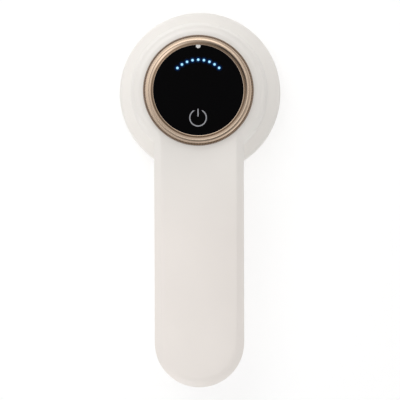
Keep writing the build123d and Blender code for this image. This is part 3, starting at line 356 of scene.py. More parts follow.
# Finishes of the nodes that stay as they are, of the two white shells and of the index mark.
shellWhite = (0.785, 0.755, 0.718)
# the skirt's white is a little lighter than the shell's: painted light against the shade the neck
# casts on the skirt
skirtWhiteLightened = (0.79, 0.762, 0.727)
plainWhite = (0.74, 0.72, 0.68)
zinc = (0.62, 0.63, 0.65)
finishes = {
    "shellPlastic": dict(colour=shellWhite, rough=0.46, scale=3200.0, depth=0.006, share=0.35,
                         spread=0.07, sockets={"Specular IOR Level": 0.38}),
    # painted light: the skirt's copy of the shell finish, made a little lighter
    "skirtPlasticLightened": dict(colour=skirtWhiteLightened, rough=0.46, scale=3200.0, depth=0.006, share=0.35,
                         spread=0.07, sockets={"Specular IOR Level": 0.38}),
    "innerPlastic": dict(colour=plainWhite, rough=0.5, scale=2200.0, depth=0.012, share=0.5),
    "capRubber": dict(colour=(0.70, 0.685, 0.65), rough=0.7, kind="soft", scale=1500.0, depth=0.02),
    "blackPlastic": dict(colour=(0.018, 0.018, 0.019), rough=0.5, scale=2400.0, depth=0.012,
                         second=(0.035, 0.035, 0.036)),
    "darkPlastic": dict(colour=(0.05, 0.05, 0.055), rough=0.42, scale=2000.0, depth=0.01,
                        second=(0.075, 0.075, 0.08)),
    "acetal": dict(colour=(0.80, 0.79, 0.74), rough=0.36, scale=1500.0, depth=0.006,
                   sockets={"Subsurface Weight": 0.15, "Subsurface Scale": 0.002}),
    "redPlastic": dict(colour=(0.50, 0.03, 0.015), rough=0.4, scale=2000.0, depth=0.01),
    "portGrey": dict(colour=(0.28, 0.275, 0.26), rough=0.55, kind="soft", scale=2000.0,
                     depth=0.012),
    "zincSteel": dict(colour=zinc, rough=0.34, kind="brushed", scale=3000.0, depth=0.004, metal=1.0,
                      second=(0.50, 0.50, 0.47), spread=0.16),
    "springSteel": dict(colour=(0.30, 0.31, 0.34), rough=0.3, kind="brushed", scale=2600.0,
                        depth=0.004, metal=1.0, second=(0.20, 0.17, 0.14), spread=0.14),
    "drawnSteel": dict(colour=(0.58, 0.58, 0.60), rough=0.28, kind="brushed", scale=1800.0,
                       depth=0.003, metal=1.0, second=(0.48, 0.48, 0.49), spread=0.18),
    "groundSteel": dict(colour=(0.68, 0.68, 0.69), rough=0.2, kind="turned", scale=5000.0,
                        depth=0.002, metal=1.0, second=(0.60, 0.59, 0.57), spread=0.12),
    "nickel": dict(colour=(0.66, 0.62, 0.55), rough=0.3, kind="brushed", scale=2400.0, depth=0.003,
                   metal=1.0, second=(0.56, 0.52, 0.44), spread=0.15),
    "cutBrass": dict(colour=(0.80, 0.58, 0.24), rough=0.3, kind="turned", scale=4200.0, depth=0.004,
                     metal=1.0, second=(0.62, 0.41, 0.16), spread=0.16),
    "bronze": dict(colour=(0.55, 0.35, 0.17), rough=0.45, kind="speckle", scale=5200.0, depth=0.01,
                   metal=1.0, second=(0.34, 0.20, 0.10), spread=0.2),
    "ferrite": dict(colour=(0.055, 0.055, 0.06), rough=0.55, kind="speckle", scale=4200.0,
                    depth=0.008, second=(0.11, 0.11, 0.115), spread=0.2),
    "core": dict(colour=(0.42, 0.17, 0.07), rough=0.4, kind="stacked", scale=9000.0, depth=0.06,
                 metal=0.8, second=(0.12, 0.11, 0.11), share=0.9),
    "greenBoard": dict(colour=(0.008, 0.085, 0.030), rough=0.32, kind="board", scale=420.0,
                       depth=0.02, second=(0.035, 0.20, 0.075), share=0.8, spread=0.12,
                       sockets={"Coat Weight": 0.4}),
    "boardParts": dict(colour=(0.022, 0.022, 0.024), rough=0.42, kind="speckle", scale=1500.0,
                       depth=0.01, second=(0.05, 0.05, 0.053), share=0.6),
    "lampBody": dict(colour=(0.82, 0.80, 0.58), rough=0.3, scale=2600.0, depth=0.004,
                     sockets={"Coat Weight": 0.5}),
    "clearGuide": dict(colour=(0.82, 0.90, 0.96), rough=0.12, scale=900.0, depth=0.004, spread=0.05,
                       sockets={"Transmission Weight": 0.85, "IOR": 1.49}),
    "redLead": dict(colour=(0.42, 0.02, 0.015), rough=0.5, kind="soft", scale=2400.0, depth=0.008),
    "blackLead": dict(colour=(0.02, 0.02, 0.021), rough=0.5, kind="soft", scale=2400.0,
                      depth=0.008),
    "ribbonFilm": dict(colour=(0.60, 0.56, 0.46), rough=0.35, kind="brushed", scale=1600.0,
                       depth=0.02, second=(0.70, 0.48, 0.22), share=0.7),
    "sealRubber": dict(colour=(0.02, 0.02, 0.02), rough=0.65, kind="soft", scale=2400.0,
                       depth=0.015),
    "foam": dict(colour=(0.045, 0.045, 0.047), rough=0.9, kind="speckle", scale=1600.0, depth=0.25,
                 second=(0.015, 0.015, 0.016), sockets={"Sheen Weight": 0.3}),
    "cellSleeve": dict(colour=(0.018, 0.09, 0.30), rough=0.3, kind="brushed", scale=500.0,
                       depth=0.01, second=(0.014, 0.07, 0.24), sockets={"Coat Weight": 0.6}),
    "slipWasher": dict(colour=(0.82, 0.82, 0.79), rough=0.3, kind="turned", scale=2400.0,
                       depth=0.004),
    "indexWhite": dict(colour=(0.62, 0.62, 0.61), rough=0.35, scale=2600.0, depth=0.003, share=0.3),
}
made = {name: finishOf(name, **values) for name, values in finishes.items()}


warmth = {"from": -20.0, "to": -100.0, "tint": (1.022, 0.996, 0.99)}


def warmTowardsEnd(material):
    # the shell is a little pinker along the handle: the tint grows with -y from the head on
    tree = material.node_tree
    colour = tree.nodes["Principled BSDF"].inputs["Base Color"]
    plain = colour.links[0].from_socket
    y = parted(tree, add(tree, "TexCoord").outputs["Object"])[1]
    along = ranged(tree, y, warmth["from"] * mm, warmth["to"] * mm)
    plug(tree, blended(tree, along, plain, (*warmth["tint"], 1), "MULTIPLY"), colour)


warmTowardsEnd(made["shellPlastic"])
dressed = {
    "shellPlastic": ["upper_housing", "lower_housing", "head_skirt"],
    "innerPlastic": ["base_plate", "pad_carrier", "motor_end_cap"],
    "capRubber": ["screw_caps"],
    "blackPlastic": ["ring_carrier", "dial_chassis", "encoder_body", "lens_carrier", "switch_body",
                     "cell_tray"],
    "darkPlastic": ["drive_hub"],
    "acetal": ["ring_gear", "encoder_pinion", "spindle_gear"],
    "redPlastic": ["switch_plunger"],
    "portGrey": ["port_trim"],
    "zincSteel": ["housing_screws", "base_screws", "chassis_screws", "display_board_screws",
                  "mount_screws", "motor_screws", "hub_screw", "main_board_screws", "motor_mount"],
    "springSteel": ["dial_clip", "spindle_clip"],
    "drawnSteel": ["motor_can", "pad_keeper", "charge_port"],
    "groundSteel": ["motor_shaft", "spindle"],
    "nickel": ["cell_links"],
    "cutBrass": ["motor_pinion", "motor_terminals"],
    "bronze": ["lower_bush", "upper_bush"],
    "ferrite": ["motor_magnets", "hub_magnet"],
    "core": ["armature"],
    "greenBoard": ["display_board", "main_board", "charge_board"],
    "boardParts": ["board_parts"],
    "lampBody": ["display_lamps"],
    "clearGuide": ["light_guide"],
    "redLead": ["motor_leads"],
    "blackLead": ["board_leads"],
    "ribbonFilm": ["display_ribbon"],
    "sealRubber": ["spindle_seal"],
    "foam": ["cell_foam"],
    "cellSleeve": ["cells"],
    "slipWasher": ["dial_washer"],
    "indexWhite": ["index_dot"],
}


def dressNode(name, material):
    # the node's only material
    nodes[name].data.materials.clear()
    nodes[name].data.materials.append(material)


for finish, names in dressed.items():
    for name in names:
        dressNode(name, made[finish])
print("finishes:", len(made), "on", sum(len(names) for names in dressed.values()), "nodes")

# Display: black glass with nine lit dots on an arc, a power sign and the white index mark.
# A dome runs over (share of the radius, height over the glass), from its top to its sunk foot.
display = {
    "glassTop": 73.8, "lampCircle": 18.8, "lampStep": 10.8, "lampCount": 9, "lampRadius": 0.8,
    "lampDome": [(0, 0.03), (0.5, 0.026), (0.85, 0.015), (1, 0), (1, -0.02), (0, -0.02)],
    "lampCore": (0.45, 0.87, 1.0), "lampRim": (0.22, 0.62, 1.0), "lampBase": (0.02, 0.05, 0.09),
    # halo: the glow painted into the glass round each dot
    "rimShares": (0.5, 1.02), "halo": (0.0, 0.022, 0.10), "haloReach": 2.3,
    "glass": (0.0014, 0.0013, 0.0015), "glassCloud": (0.002, 0.0019, 0.0022), "glassShine": 0.35,
    "signPlace": (-0.2, -17.1), "signRadius": 5.1, "signStroke": 0.76, "signGap": 24.0,
    "signSteps": 90, "barLow": 0.5, "barHigh": 5.85, "barSteps": 24,
    "ink": (0.26, 0.26, 0.28), "inkHeight": 0.03, "inkFoot": 0.005, "inkSunk": 0.02,
    "inkAcross": 9, "inkEnds": 5,
    "markRadius": 1.42, "markPlace": 27.35,
    "markDome": [(0, 0.05), (0.7, 0.04), (1, 0.01), (1, -0.02), (0, -0.02)],
}


def lampDistance(tree, place):
    # distance in metres from the nearest dot: the angle from +y is rounded to the dots' step and
    # held to the outer dots, and the dot lies at circle * (sin, cos) of it
    x, y = parted(tree, place)[:2]
    angle = maths(tree, "ARCTAN2", x, y)
    step = math.radians(display["lampStep"])
    half = (display["lampCount"] - 1) / 2
    number = maths(tree, "ROUND", maths(tree, "DIVIDE", angle, step))
    number = maths(tree, "MINIMUM", maths(tree, "MAXIMUM", number, -half), half)
    nearest = maths(tree, "MULTIPLY", number, step)
    circle = display["lampCircle"] * mm
    dx = maths(tree, "SUBTRACT", x, maths(tree, "MULTIPLY", maths(tree, "SINE", nearest), circle))
    dy = maths(tree, "SUBTRACT", y, maths(tree, "MULTIPLY", maths(tree, "COSINE", nearest), circle))
    squares = maths(tree, "ADD", maths(tree, "MULTIPLY", dx, dx), maths(tree, "MULTIPLY", dy, dy))
    return [maths(tree, "SQRT", squares)]


lampGroup = grouped("lampDistance", {"Place": "Vector"}, ("Distance",), lampDistance)


def glassFinish():
    # black glass with a painted glow round every dot
    material, tree, shader, marks, place = startMaterial("displayGlass", "grain", 400.0)
    distance = placed(tree, lampGroup, place).outputs["Distance"]
    inner = display["lampRadius"] * display["rimShares"][0] * mm
    halo = ranged(tree, distance, display["haloReach"] * mm, inner)
    glow = blended(tree, halo, (0, 0, 0, 1), (*display["halo"], 1))
    plug(tree, glow, shader.inputs["Emission Color"])
    shader.inputs["Emission Strength"].default_value = 1.0
    tint = maths(tree, "MULTIPLY", marks.outputs["Tint"], 0.4)
    base = blended(tree, tint, (*display["glass"], 1), (*display["glassCloud"], 1))
    plug(tree, base, shader.inputs["Base Color"])
    gloss = maths(tree, "MULTIPLY_ADD", marks.outputs["Gloss"], 0.03, 0.04)
    plug(tree, gloss, shader.inputs["Roughness"])
    relief(tree, marks.outputs["Height"], 0.0006, shader)
    shader.inputs["IOR"].default_value = 1.5
    shader.inputs["Specular IOR Level"].default_value = display["glassShine"]
    return material


def lampFinish():
    # a lit dot, paler in its middle than at its rim
    material, tree, shader, marks, place = startMaterial("lampLight", "grain", 3000.0)
    distance = placed(tree, lampGroup, place).outputs["Distance"]
    inner, outer = (display["lampRadius"] * share * mm for share in display["rimShares"])
    rim = ranged(tree, distance, inner, outer)
    glow = blended(tree, rim, (*display["lampCore"], 1), (*display["lampRim"], 1))
    plug(tree, glow, shader.inputs["Emission Color"])
    shader.inputs["Emission Strength"].default_value = 1.0
    shader.inputs["Base Color"].default_value = (*display["lampBase"], 1)
    gloss = maths(tree, "MULTIPLY_ADD", marks.outputs["Gloss"], 0.1, 0.2)
    plug(tree, gloss, shader.inputs["Roughness"])
    relief(tree, marks.outputs["Height"], 0.001, shader)
    return material


def stroke(centre, across, height):
    # a line of ink: its middle line + across * t, t from -1 to 1, with a back of height
    # sqrt(1 - t^2); width and height shrink at both ends with the sine of a quarter turn
    ends = display["inkEnds"]
    offset = np.linspace(-1, 1, display["inkAcross"])
    lift = np.sqrt(np.clip(1 - offset ** 2, 0, 1))
    cap = np.ones(len(centre))
    cap[:ends] = np.sin(np.linspace(0, np.pi / 2, ends))
    cap[-ends:] = cap[:ends][::-1]
    top = centre[:, None, :] + across[:, None, :] * offset[None, :, None] * cap[:, None, None]
    z = display["glassTop"] - display["inkFoot"] + height * lift[None, :] * cap[:, None]
    topRows = np.dstack([top, z])
    lowRows = np.dstack([top, np.full_like(z, display["glassTop"] - display["inkSunk"])])
    ring = np.concatenate([topRows, lowRows[:, ::-1]], axis=1)
    middles = ring.mean(1, keepdims=True).repeat(ring.shape[1], 1)
    return sheetOf(np.concatenate([middles[:1], ring, middles[-1:]]))


def domed(shape, radius):
    # radius and height of a low dome on the glass
    return [(share * radius, display["glassTop"] + lift) for share, lift in shape]


def makeDisplay():
    # dots at circle * (sin a, cos a), the sign a circle open at its top with a bar in the gap
    dressNode("display_glass", glassFinish())
    half = (display["lampCount"] - 1) / 2
    angles = np.radians(display["lampStep"] * np.arange(-half, half + 1))
    places = np.column_stack([np.sin(angles), np.cos(angles)]) * display["lampCircle"]
    dome = domed(display["lampDome"], display["lampRadius"])
    dots = [turned(dome, 28, place, False) for place in places]
    makePiece("lamp_dots", dots, "face_button", lampFinish())
    ink = finishOf("signInk", display["ink"], 0.35, scale=3000.0, depth=0.002, share=0.3)
    gap = math.radians(display["signGap"])
    turn = np.linspace(math.pi / 2 + gap, math.pi * 2.5 - gap, display["signSteps"])
    outward = np.column_stack([np.cos(turn), np.sin(turn)])
    middle = np.array(display["signPlace"])
    half = display["signStroke"] / 2
    ring = stroke(middle + outward * display["signRadius"], outward * half, display["inkHeight"])
    y = np.linspace(display["barLow"], display["barHigh"], display["barSteps"])
    line = np.column_stack([0 * y, y]) + middle
    bar = stroke(line, np.tile([-half, 0], (len(y), 1)), display["inkHeight"])
    makePiece("power_sign", [ring, bar], "face_button", ink)
    dome = domed(display["markDome"], display["markRadius"])
    mark = turned(dome, 40, (0.0, display["markPlace"]), False)
    makePiece("index_mark", [mark], "face_button", made["indexWhite"], ["index_dot"])


makeDisplay()
print("display dressed")

# Speed ring: knurled side and shoulder, fine groove, rounded lip, nearly flat band, inner bevel.
# The fades are radii between which one part of the ring's colour takes over from the next.
ringShape = {
    "profile": [
        (30.7, 69.0, 0), (33.8, 69.0, 0.2), (34.3, 69.5, 0.2), (34.3, 73.5, 0.4),
        (33.12, 74.9, 0.1), (33.0, 74.8, 0.05), (32.92, 75.1, 0.08), (32.66, 75.53, 0.15),
        (32.1, 75.78, 0.25), (31.5, 75.91, 0.3), (30.8, 75.98, 0.15), (30.42, 75.84, 0.15),
        (29.35, 75.12, 0.25), (28.3, 74.07, 0.1), (28.03, 74.03, 0.03), (28.0, 74.0, 0.02),
        (30.7, 74.0, 0),
    ],
    "teeth": 216, "samples": 6, "depth": 0.36, "sharpness": 1.5,
    "knurlLow": 69.7, "lowFade": (0.1, 0.1), "knurlHigh": 74.8, "highFade": (0.05, 0.25),
    "sideFade": (33.1, 33.35),
    "gold": (0.70, 0.545, 0.42), "goldDeep": (0.63, 0.485, 0.365), "goldShare": 0.6,
    # bevel: painted shade, for the dark that the inner bevel mirrors
    "bevelShade": (0.46, 0.325, 0.225), "bevelShadeFade": (29.75, 29.35), "lipFade": (28.35, 28.15),
    # knurl and groove: painted shade, for the knurl's shaded teeth and the darker shade between
    # them
    "knurlShade": (0.26, 0.178, 0.122), "grooveShade": (0.05, 0.033, 0.022), "grooveShadeFade": (0.1, -0.8),
    "outsideFade": (32.76, 32.95),
    "rough": 0.19, "roughSpread": 0.1, "knurlRough": 0.12, "scale": 5200.0, "relief": 0.0022,
}


def ringFinish():
    # gold above; painted shade on the inner bevel, and a dark brown knurl with darker painted shade
    # between its teeth
    material, tree, shader, marks, place = startMaterial("roseGold", "turned", ringShape["scale"])
    x, y = parted(tree, place)[:2]
    radius = flatLength(tree, place)

    def fade(name):
        # 0 to 1 between the two radii
        start, end = ringShape[name]
        return ranged(tree, radius, start * mm, end * mm)

    def colours(factor, first, second):
        # a blend of two colours, each a name in ringShape or a socket
        pair = [(*ringShape[c], 1) if isinstance(c, str) else c for c in (first, second)]
        return blended(tree, factor, *pair)

    tint = maths(tree, "MULTIPLY", marks.outputs["Tint"], ringShape["goldShare"])
    gold = colours(tint, "gold", "goldDeep")
    # painted shade darkens the inner bevel, all but the lip at the glass
    notLip = maths(tree, "SUBTRACT", 1.0, fade("lipFade"))
    gold = colours(maths(tree, "MULTIPLY", fade("bevelShadeFade"), notLip), gold, "bevelShade")
    # painted shade: the knurl is dark brown and darker still between its teeth
    turn = maths(tree, "ARCTAN2", y, x)
    wave = maths(tree, "COSINE", maths(tree, "MULTIPLY", turn, float(ringShape["teeth"])))
    side = colours(ranged(tree, wave, *ringShape["grooveShadeFade"]), "knurlShade", "grooveShade")
    outside = fade("outsideFade")
    plug(tree, colours(outside, gold, side), shader.inputs["Base Color"])
    spread, rough = ringShape["roughSpread"], ringShape["rough"]
    gloss = maths(tree, "MULTIPLY_ADD", marks.outputs["Gloss"], spread, rough - spread / 2)
    gloss = maths(tree, "MULTIPLY_ADD", outside, ringShape["knurlRough"], gloss)
    plug(tree, gloss, shader.inputs["Roughness"])
    relief(tree, marks.outputs["Height"], ringShape["relief"], shader)
    shader.inputs["Metallic"].default_value = 1.0
    return material


def makeRing():
    # r = profile radius - depth * ((1 - cos(teeth * a)) / 2)^sharpness, between the knurl's heights
    profile = softened(ringShape["profile"], 4)
    angle = np.linspace(0, 2 * np.pi, ringShape["teeth"] * ringShape["samples"], endpoint=False)
    radius, height = profile[:, :1], profile[:, 1:2]
    wave = ((1 - np.cos(ringShape["teeth"] * angle)) / 2) ** ringShape["sharpness"]
    low, high = ringShape["knurlLow"], ringShape["knurlHigh"]
    under, over = ringShape["lowFade"]
    reach = smoothStep(height, low - under, low + over)
    over, under = ringShape["highFade"]
    reach = reach * smoothStep(-height, -high - over, -high + under)
    reach = reach * smoothStep(radius, *ringShape["sideFade"])
    r = radius - ringShape["depth"] * wave * reach
    points = np.stack([r * np.cos(angle), r * np.sin(angle), height + 0 * angle], -1)
    ring = sheetOf(points, roundRows=True)
    makePiece("speed_ring_turned", [ring], "dial", ringFinish(), ["speed_ring"], 50)


makeRing()
print("speed ring turned")

# Upper shell: keyhole outline, facet up to the crease, gently crowned top.
# Faces hold distance drawn in from the wall, height and how far from the corner its bend starts.
shell = {
    "head": 42.5, "half": 27.8, "corner": 3.0, "reach": 156.5, "wall": 2.4,
    "headFacet": 6.5, "sideFacet": 4.1, "cornerGrowth": 9.0,
    "seam": 49.5, "top": 68.5, "topSteps": 30, "ceiling": 66.1, "hole": 31.0,
    "crown": 2.2, "crownLimit": 1.4, "crownAlong": (36, 96), "crownRise": (60, 68.4),
    "sideFace": [(0.35, 49.5, 0), (0, 49.85, 0.2), (0, 64, 3.0), (2.0, 66.2, 0.4),
                 (3.1, 67.4, 0.4), (4.1, 68.5, 0.8), (6.0, 68.5, 0.4), (7.0, 68.5, 0)],
    "endFace": [(0.35, 49.5, 0), (0, 49.85, 0.2), (0, 63.6, 3.4), (1.9, 65.9, 0.9),
                (3.4, 67.5, 1.2), (5.6, 68.4, 2.6), (9.5, 68.5, 1.6), (12.0, 68.5, 0)],
    "headFace": [(0.35, 49.5, 0), (0, 49.85, 0.2), (0, 60.6, 1.2), (1.9, 64.9, 0.8),
                 (3.7, 65.75, 0.7), (5.6, 67.85, 0.7), (7.5, 68.5, 0.4), (8.0, 68.5, 0)],
    "endAlong": (132, 182), "headAlong": (-31, -14),
    "spring": 62.4, "rebate": 51.1, "rebateWall": 1.05, "ceilingInset": 1.6,
    "columns": (210, 14, 70, 84, 70, 14),
    # x on both sides, y, outer radius, bore, lower end, upper end
    "posts": [(11.0, -45.2, 3.4, 1.5, 49.5, 66.6), (11.0, -130.0, 3.4, 1.5, 49.5, 66.6),
              (13.5, -58.0, 2.6, 1.0, 58.1, 66.6), (13.5, -104.0, 2.6, 1.0, 58.1, 66.6),
              (35.5, 0.0, 3.4, 1.5, 49.5, 59.5)],
    "bossCircle": 36.8, "bossTurns": (45, 135, 225, 315),
    "boss": [(1.2, 62.0), (2.4, 62.0), (2.4, 65.6), (1.2, 65.6)],
    "ribs": [(37.5, 41.5, -1, 1, 51.1, 59.5), (-41.5, -37.5, -1, 1, 51.1, 59.5)],
}
# Every column belongs to one of the outline's six segments and lies at a share of its way.
segment = np.repeat(np.arange(len(shell["columns"])), shell["columns"])
share = np.concatenate([np.arange(n) / n for n in shell["columns"]])


def keyhole(head, half, corner):
    # head arc, left corner arc, left side, half-round end, right side, right corner arc: the
    # corner circles touch the head's circle and the sides, and the segments run to the touches
    cornerX = half + corner
    cornerY = -np.sqrt((head + corner) ** 2 - cornerX ** 2)
    touch = np.arctan2(cornerY, cornerX)
    around = touch + (np.pi - 2 * touch) * share
    leftTurn = -touch * (1 - share)
    endTurn = np.pi * (1 + share)
    rightTurn = np.pi + touch * share
    reach = shell["reach"]
    xs = [head * np.cos(around), -cornerX + corner * np.cos(leftTurn), -half + 0 * share,
          half * np.cos(endTurn), half + 0 * share, cornerX + corner * np.cos(rightTurn)]
    ys = [head * np.sin(around), cornerY + corner * np.sin(leftTurn),
          cornerY + (-reach - cornerY) * share, -reach + half * np.sin(endTurn),
          -reach + (cornerY + reach) * share, cornerY + corner * np.sin(rightTurn)]
    shape = np.broadcast(head, share).shape
    picks = [np.broadcast_to(segment == number, shape) for number in range(len(xs))]
    return np.select(picks, np.broadcast_arrays(*xs)), np.select(picks, np.broadcast_arrays(*ys))


def drawnIn(level, inset=0.0):
    # the outline at a level between the wall at 0 and the crease at 1, less an inset
    return keyhole(shell["head"] - shell["headFacet"] * level - inset,
                   shell["half"] - shell["sideFacet"] * level - inset,
                   shell["corner"] + shell["cornerGrowth"] * level + inset)


def flatRow(x, y, z):
    # points at x and y, all at one height
    return np.stack([x, y, np.broadcast_to(np.asarray(z, float), x.shape)], -1)


def makeUpperShell():
    # outside: each column blends the side, end and head faces by where it stands on the outline
    baseY = drawnIn(np.zeros((1, 1)))[1]
    endShare = smoothStep(-baseY, *shell["endAlong"])
    headShare = smoothStep(baseY, *shell["headAlong"])
    shares = (1 - endShare - headShare, endShare, headShare)
    across = [softened(shell[face], 6) for face in ("sideFace", "endFace", "headFace")]
    widths = (shell["sideFacet"], shell["sideFacet"], shell["headFacet"])
    level = sum(face[:, :1] / width * part for face, width, part in zip(across, widths, shares))
    height = sum(face[:, 1:2] * part for face, part in zip(across, shares))
    x, y = drawnIn(level)
    outer = np.stack([x, y, height], -1)

    # the top runs straight from the last line of the faces to the round hole under the dial
    angle = np.arctan2(y[-1], x[-1])
    holeX, holeY = shell["hole"] * np.cos(angle), shell["hole"] * np.sin(angle)
    steps = np.linspace(0, 1, shell["topSteps"])[1:, None]
    topX = x[-1] + (holeX - x[-1]) * steps
    topY = y[-1] + (holeY - y[-1]) * steps
    outer = np.concatenate([outer, flatRow(topX, topY, shell["top"])])

    # the crown lowers the handle's top by crown * (x / half width of the top)^2
    crown = shell["crown"] * (outer[..., 0] / (shell["half"] - shell["sideFacet"])) ** 2
    crown = np.minimum(crown, shell["crown"] * shell["crownLimit"])
    crown = crown * smoothStep(-outer[..., 1], *shell["crownAlong"])
    outer[..., 2] -= crown * smoothStep(outer[..., 2], *shell["crownRise"])

    # inside: down through the hole, out under the ceiling, down the wall to the seam's rebate
    wall, thin, rebate = shell["wall"], shell["rebateWall"], shell["rebate"]
    rows = [(1.0, shell["ceilingInset"], shell["ceiling"]), (0.0, wall, shell["spring"]),
            (0.0, wall, rebate), (0.0, thin, rebate), (0.0, thin, shell["seam"])]
    inner = [flatRow(holeX, holeY, shell["ceiling"])]
    for depth, inset, z in rows:
        rowX, rowY = drawnIn(np.full((1, 1), depth), inset)
        inner.append(flatRow(rowX[0], rowY[0], z))
    sheets = [sheetOf(np.concatenate([outer, np.stack(inner)]), roundRows=True)]

    # posts and bosses are turned tubes, the ribs are bricks
    for px, py, outside, bore, low, high in shell["posts"]:
        loop = [(bore, low), (outside, low), (outside, high), (bore, high)]
        sheets += [turned(loop, 32, (side * px, py)) for side in (1, -1)]
    for turn in np.radians(shell["bossTurns"]):
        place = (shell["bossCircle"] * math.cos(turn), shell["bossCircle"] * math.sin(turn))
        sheets.append(turned(shell["boss"], 28, place))
    sheets += [brick(*rib) for rib in shell["ribs"]]
    white = made["shellPlastic"]
    makePiece("upper_shell", sheets, "body", white, ["upper_housing"], 50)


makeUpperShell()
print("upper shell drawn")

# Head skirt: hollow under the neck, sloping shoulder, rounded rim, open cup for the pad.
skirt = {
    "neck": 42.5, "bore": 40.1, "rim": 51.0, "cup": 48.6, "joint": 29.6, "low": 11.0,
    "hollow": 2.8, "shoulder": 26.0, "edge": 3.5, "edgeHeight": 20.2,
    "seat": 46.0, "seatHeight": 21.5, "ledge": 44.0, "ledgeHeight": 22.6,
}


def makeSkirt():
    # the shoulder is a cone; a hollow arc leads into it from the neck and a round one, with
    # x = edgeX + edge sin a and z = edgeZ + edge cos a, leads out of it to the rim
    slope = math.radians(skirt["shoulder"])
    edgeX, edgeZ = skirt["rim"] - skirt["edge"], skirt["edgeHeight"]
    turn = np.linspace(slope, np.pi / 2, 14)
    edge = np.column_stack([edgeX + skirt["edge"] * np.sin(turn),
                            edgeZ + skirt["edge"] * np.cos(turn)])
    meet = edge[0, 1] + (edge[0, 0] - skirt["neck"]) * math.tan(slope)
    hollow = softened([(skirt["neck"], skirt["joint"], 0), (skirt["neck"], meet, skirt["hollow"]),
                       (edge[0, 0], edge[0, 1], 0)], 14)
    low = softened([(skirt["rim"], edgeZ, 0), (skirt["rim"], skirt["low"], 0.6),
                    (skirt["cup"], skirt["low"], 0.3), (skirt["cup"], skirt["seatHeight"], 0.3),
                    (skirt["seat"], skirt["seatHeight"], 0.2),
                    (skirt["ledge"], skirt["ledgeHeight"], 0.4),
                    (skirt["bore"], skirt["ledgeHeight"], 0.3),
                    (skirt["bore"], skirt["joint"], 0.2)], 4)
    profile = np.vstack([hollow[:-1], edge, low[1:], [[skirt["bore"], skirt["joint"]]]])
    # the lightened skirt white: painted light against the neck's shade
    skin, white = turned(profile, 192), made["skirtPlasticLightened"]
    makePiece("skirt_turned", [skin], "body", white, ["head_skirt"], 50)


makeSkirt()
print("head skirt drawn")

# Soft pad: disc with a wrapped rim, rings of nubs under it and six pegs over it.
pad = {
    "radius": 46.8, "low": 8.0, "high": 12.0, "lip": 1.3, "web": 10.5,
    "pitch": 13.0, "rings": 3, "start": 15.0,
    "tip": 2.3, "foot": 4.2, "flank": 0.25, "flare": 1.3, "flankHeight": 6.9,
    "flareHeight": 8.05, "nubHigh": 8.4,
    "pegCircle": 32.5, "pegCount": 6, "peg": 2.2, "pegHead": 3.4, "pegLow": 10.2,
    "pegNeck": 13.0, "pegEdge": 13.9, "pegHigh": 14.2,
    "colour": (0.70, 0.655, 0.60), "second": (0.63, 0.585, 0.53), "rough": 0.62,
}


def makePad():
    # disc, nubs and pegs are turned profiles; ring n holds 6 n nubs at n pitches from the middle
    inner = pad["radius"] - pad["lip"]
    disc = softened([(0, pad["low"], 0), (pad["radius"], pad["low"], 1.4),
                     (pad["radius"], pad["high"], 0.4), (inner, pad["high"], 0.3),
                     (inner, pad["web"], 0.2), (0, pad["web"], 0)], 7)
    sheets = [turned(disc, 144, closed=False)]
    flare = pad["foot"] + pad["flare"]
    nub = softened([(0, 0, 0), (pad["tip"], 0.0, 1.35),
                    (pad["foot"] - pad["flank"], pad["flankHeight"], 1.6),
                    (flare, pad["flareHeight"], 0.6), (flare, pad["nubHigh"], 0.1),
                    (0, pad["nubHigh"], 0)], 7)
    places = [(0.0, 0.0)]
    for ring in range(1, pad["rings"] + 1):
        turn = np.radians(pad["start"] + 360.0 * np.arange(6 * ring) / (6 * ring))
        reach = pad["pitch"] * ring
        places += list(zip(np.cos(turn) * reach, np.sin(turn) * reach))
    sheets += [turned(nub, 36, place, False) for place in places]
    peg = softened([(0, pad["pegLow"], 0), (pad["peg"], pad["pegLow"], 0.1),
                    (pad["peg"], pad["pegNeck"], 0.1), (pad["pegHead"], pad["pegNeck"], 0.2),
                    (pad["pegHead"], pad["pegEdge"], 0.5), (pad["peg"], pad["pegHigh"], 0.3),
                    (0, pad["pegHigh"], 0)], 4)
    turn = 2 * np.pi * np.arange(pad["pegCount"]) / pad["pegCount"]
    places = zip(np.cos(turn) * pad["pegCircle"], np.sin(turn) * pad["pegCircle"])
    sheets += [turned(peg, 28, place, False) for place in places]
    glow = {"Subsurface Weight": 0.3, "Subsurface Scale": 0.003, "Sheen Weight": 0.15}
    silicone = finishOf("silicone", pad["colour"], pad["rough"], "soft", 1300.0, 0.02,
                        pad["second"], sockets=glow)
    makePiece("nub_pad_soft", sheets, "massage_head", silicone, ["nub_pad"], 60)


makePad()
print("soft pad moulded")

# Studio: pale floor, one key lamp, four fill lamps without shadow, and a world with two lights.
# Bands of the mirror light hold the heights between which a band takes over from the one below,
# its level, its leans along x and y and its share of x * y. Spots hold their direction, inner
# and outer reach and the factor that the mirror light has inside them.
studio = {
    "floorReach": 6.0, "floorHeight": -0.02, "floorColour": (0.7, 0.7, 0.7), "floorRough": 0.9,
    "floorLift": 0.3, "floorFade": (0.3, 0.9),
    "skyLevel": 0.27, "skyEnds": 0.75, "aim": (0, -0.05, 0.05),
    "keyPlace": (-0.45, 0.5, 1.6), "keySize": 1.0, "keyPower": 3.5, "fillSize": 0.7,
    "fills": {
        "leftFill": ((-1.5, -0.1, 0.6), 9.9), "backFill": ((0.2, 1.5, 0.6), 8.8),
        "frontFill": ((0.5, -1.4, 0.6), 6.6), "topFill": ((0.5, 0.1, 1.6), 3.5),
    },
    "mirror": [
        (0, 0, 0.34, -0.10, -0.12, 0.0), (0.08, 0.22, 0.56, 0.38, 0.13, -0.6),
        (0.48, 0.62, 0.79, -0.26, 0.1, -0.5), (0.86, 0.96, 0.73, -0.5, 2.5, 0.0),
    ],
    "mirrorLimits": (0.05, 1.7),
    "spots": [
        ((-0.02, 0.037, 1.0), 0.045, 0.09, 0.05), ((0.60, -0.62, 0.50), 0.12, 0.42, 1.6),
        ((0.0, 0.3, 0.95), 0.08, 0.3, 1.35), ((0.34, 0.24, 0.91), 0.08, 0.34, 0.66),
    ],
}


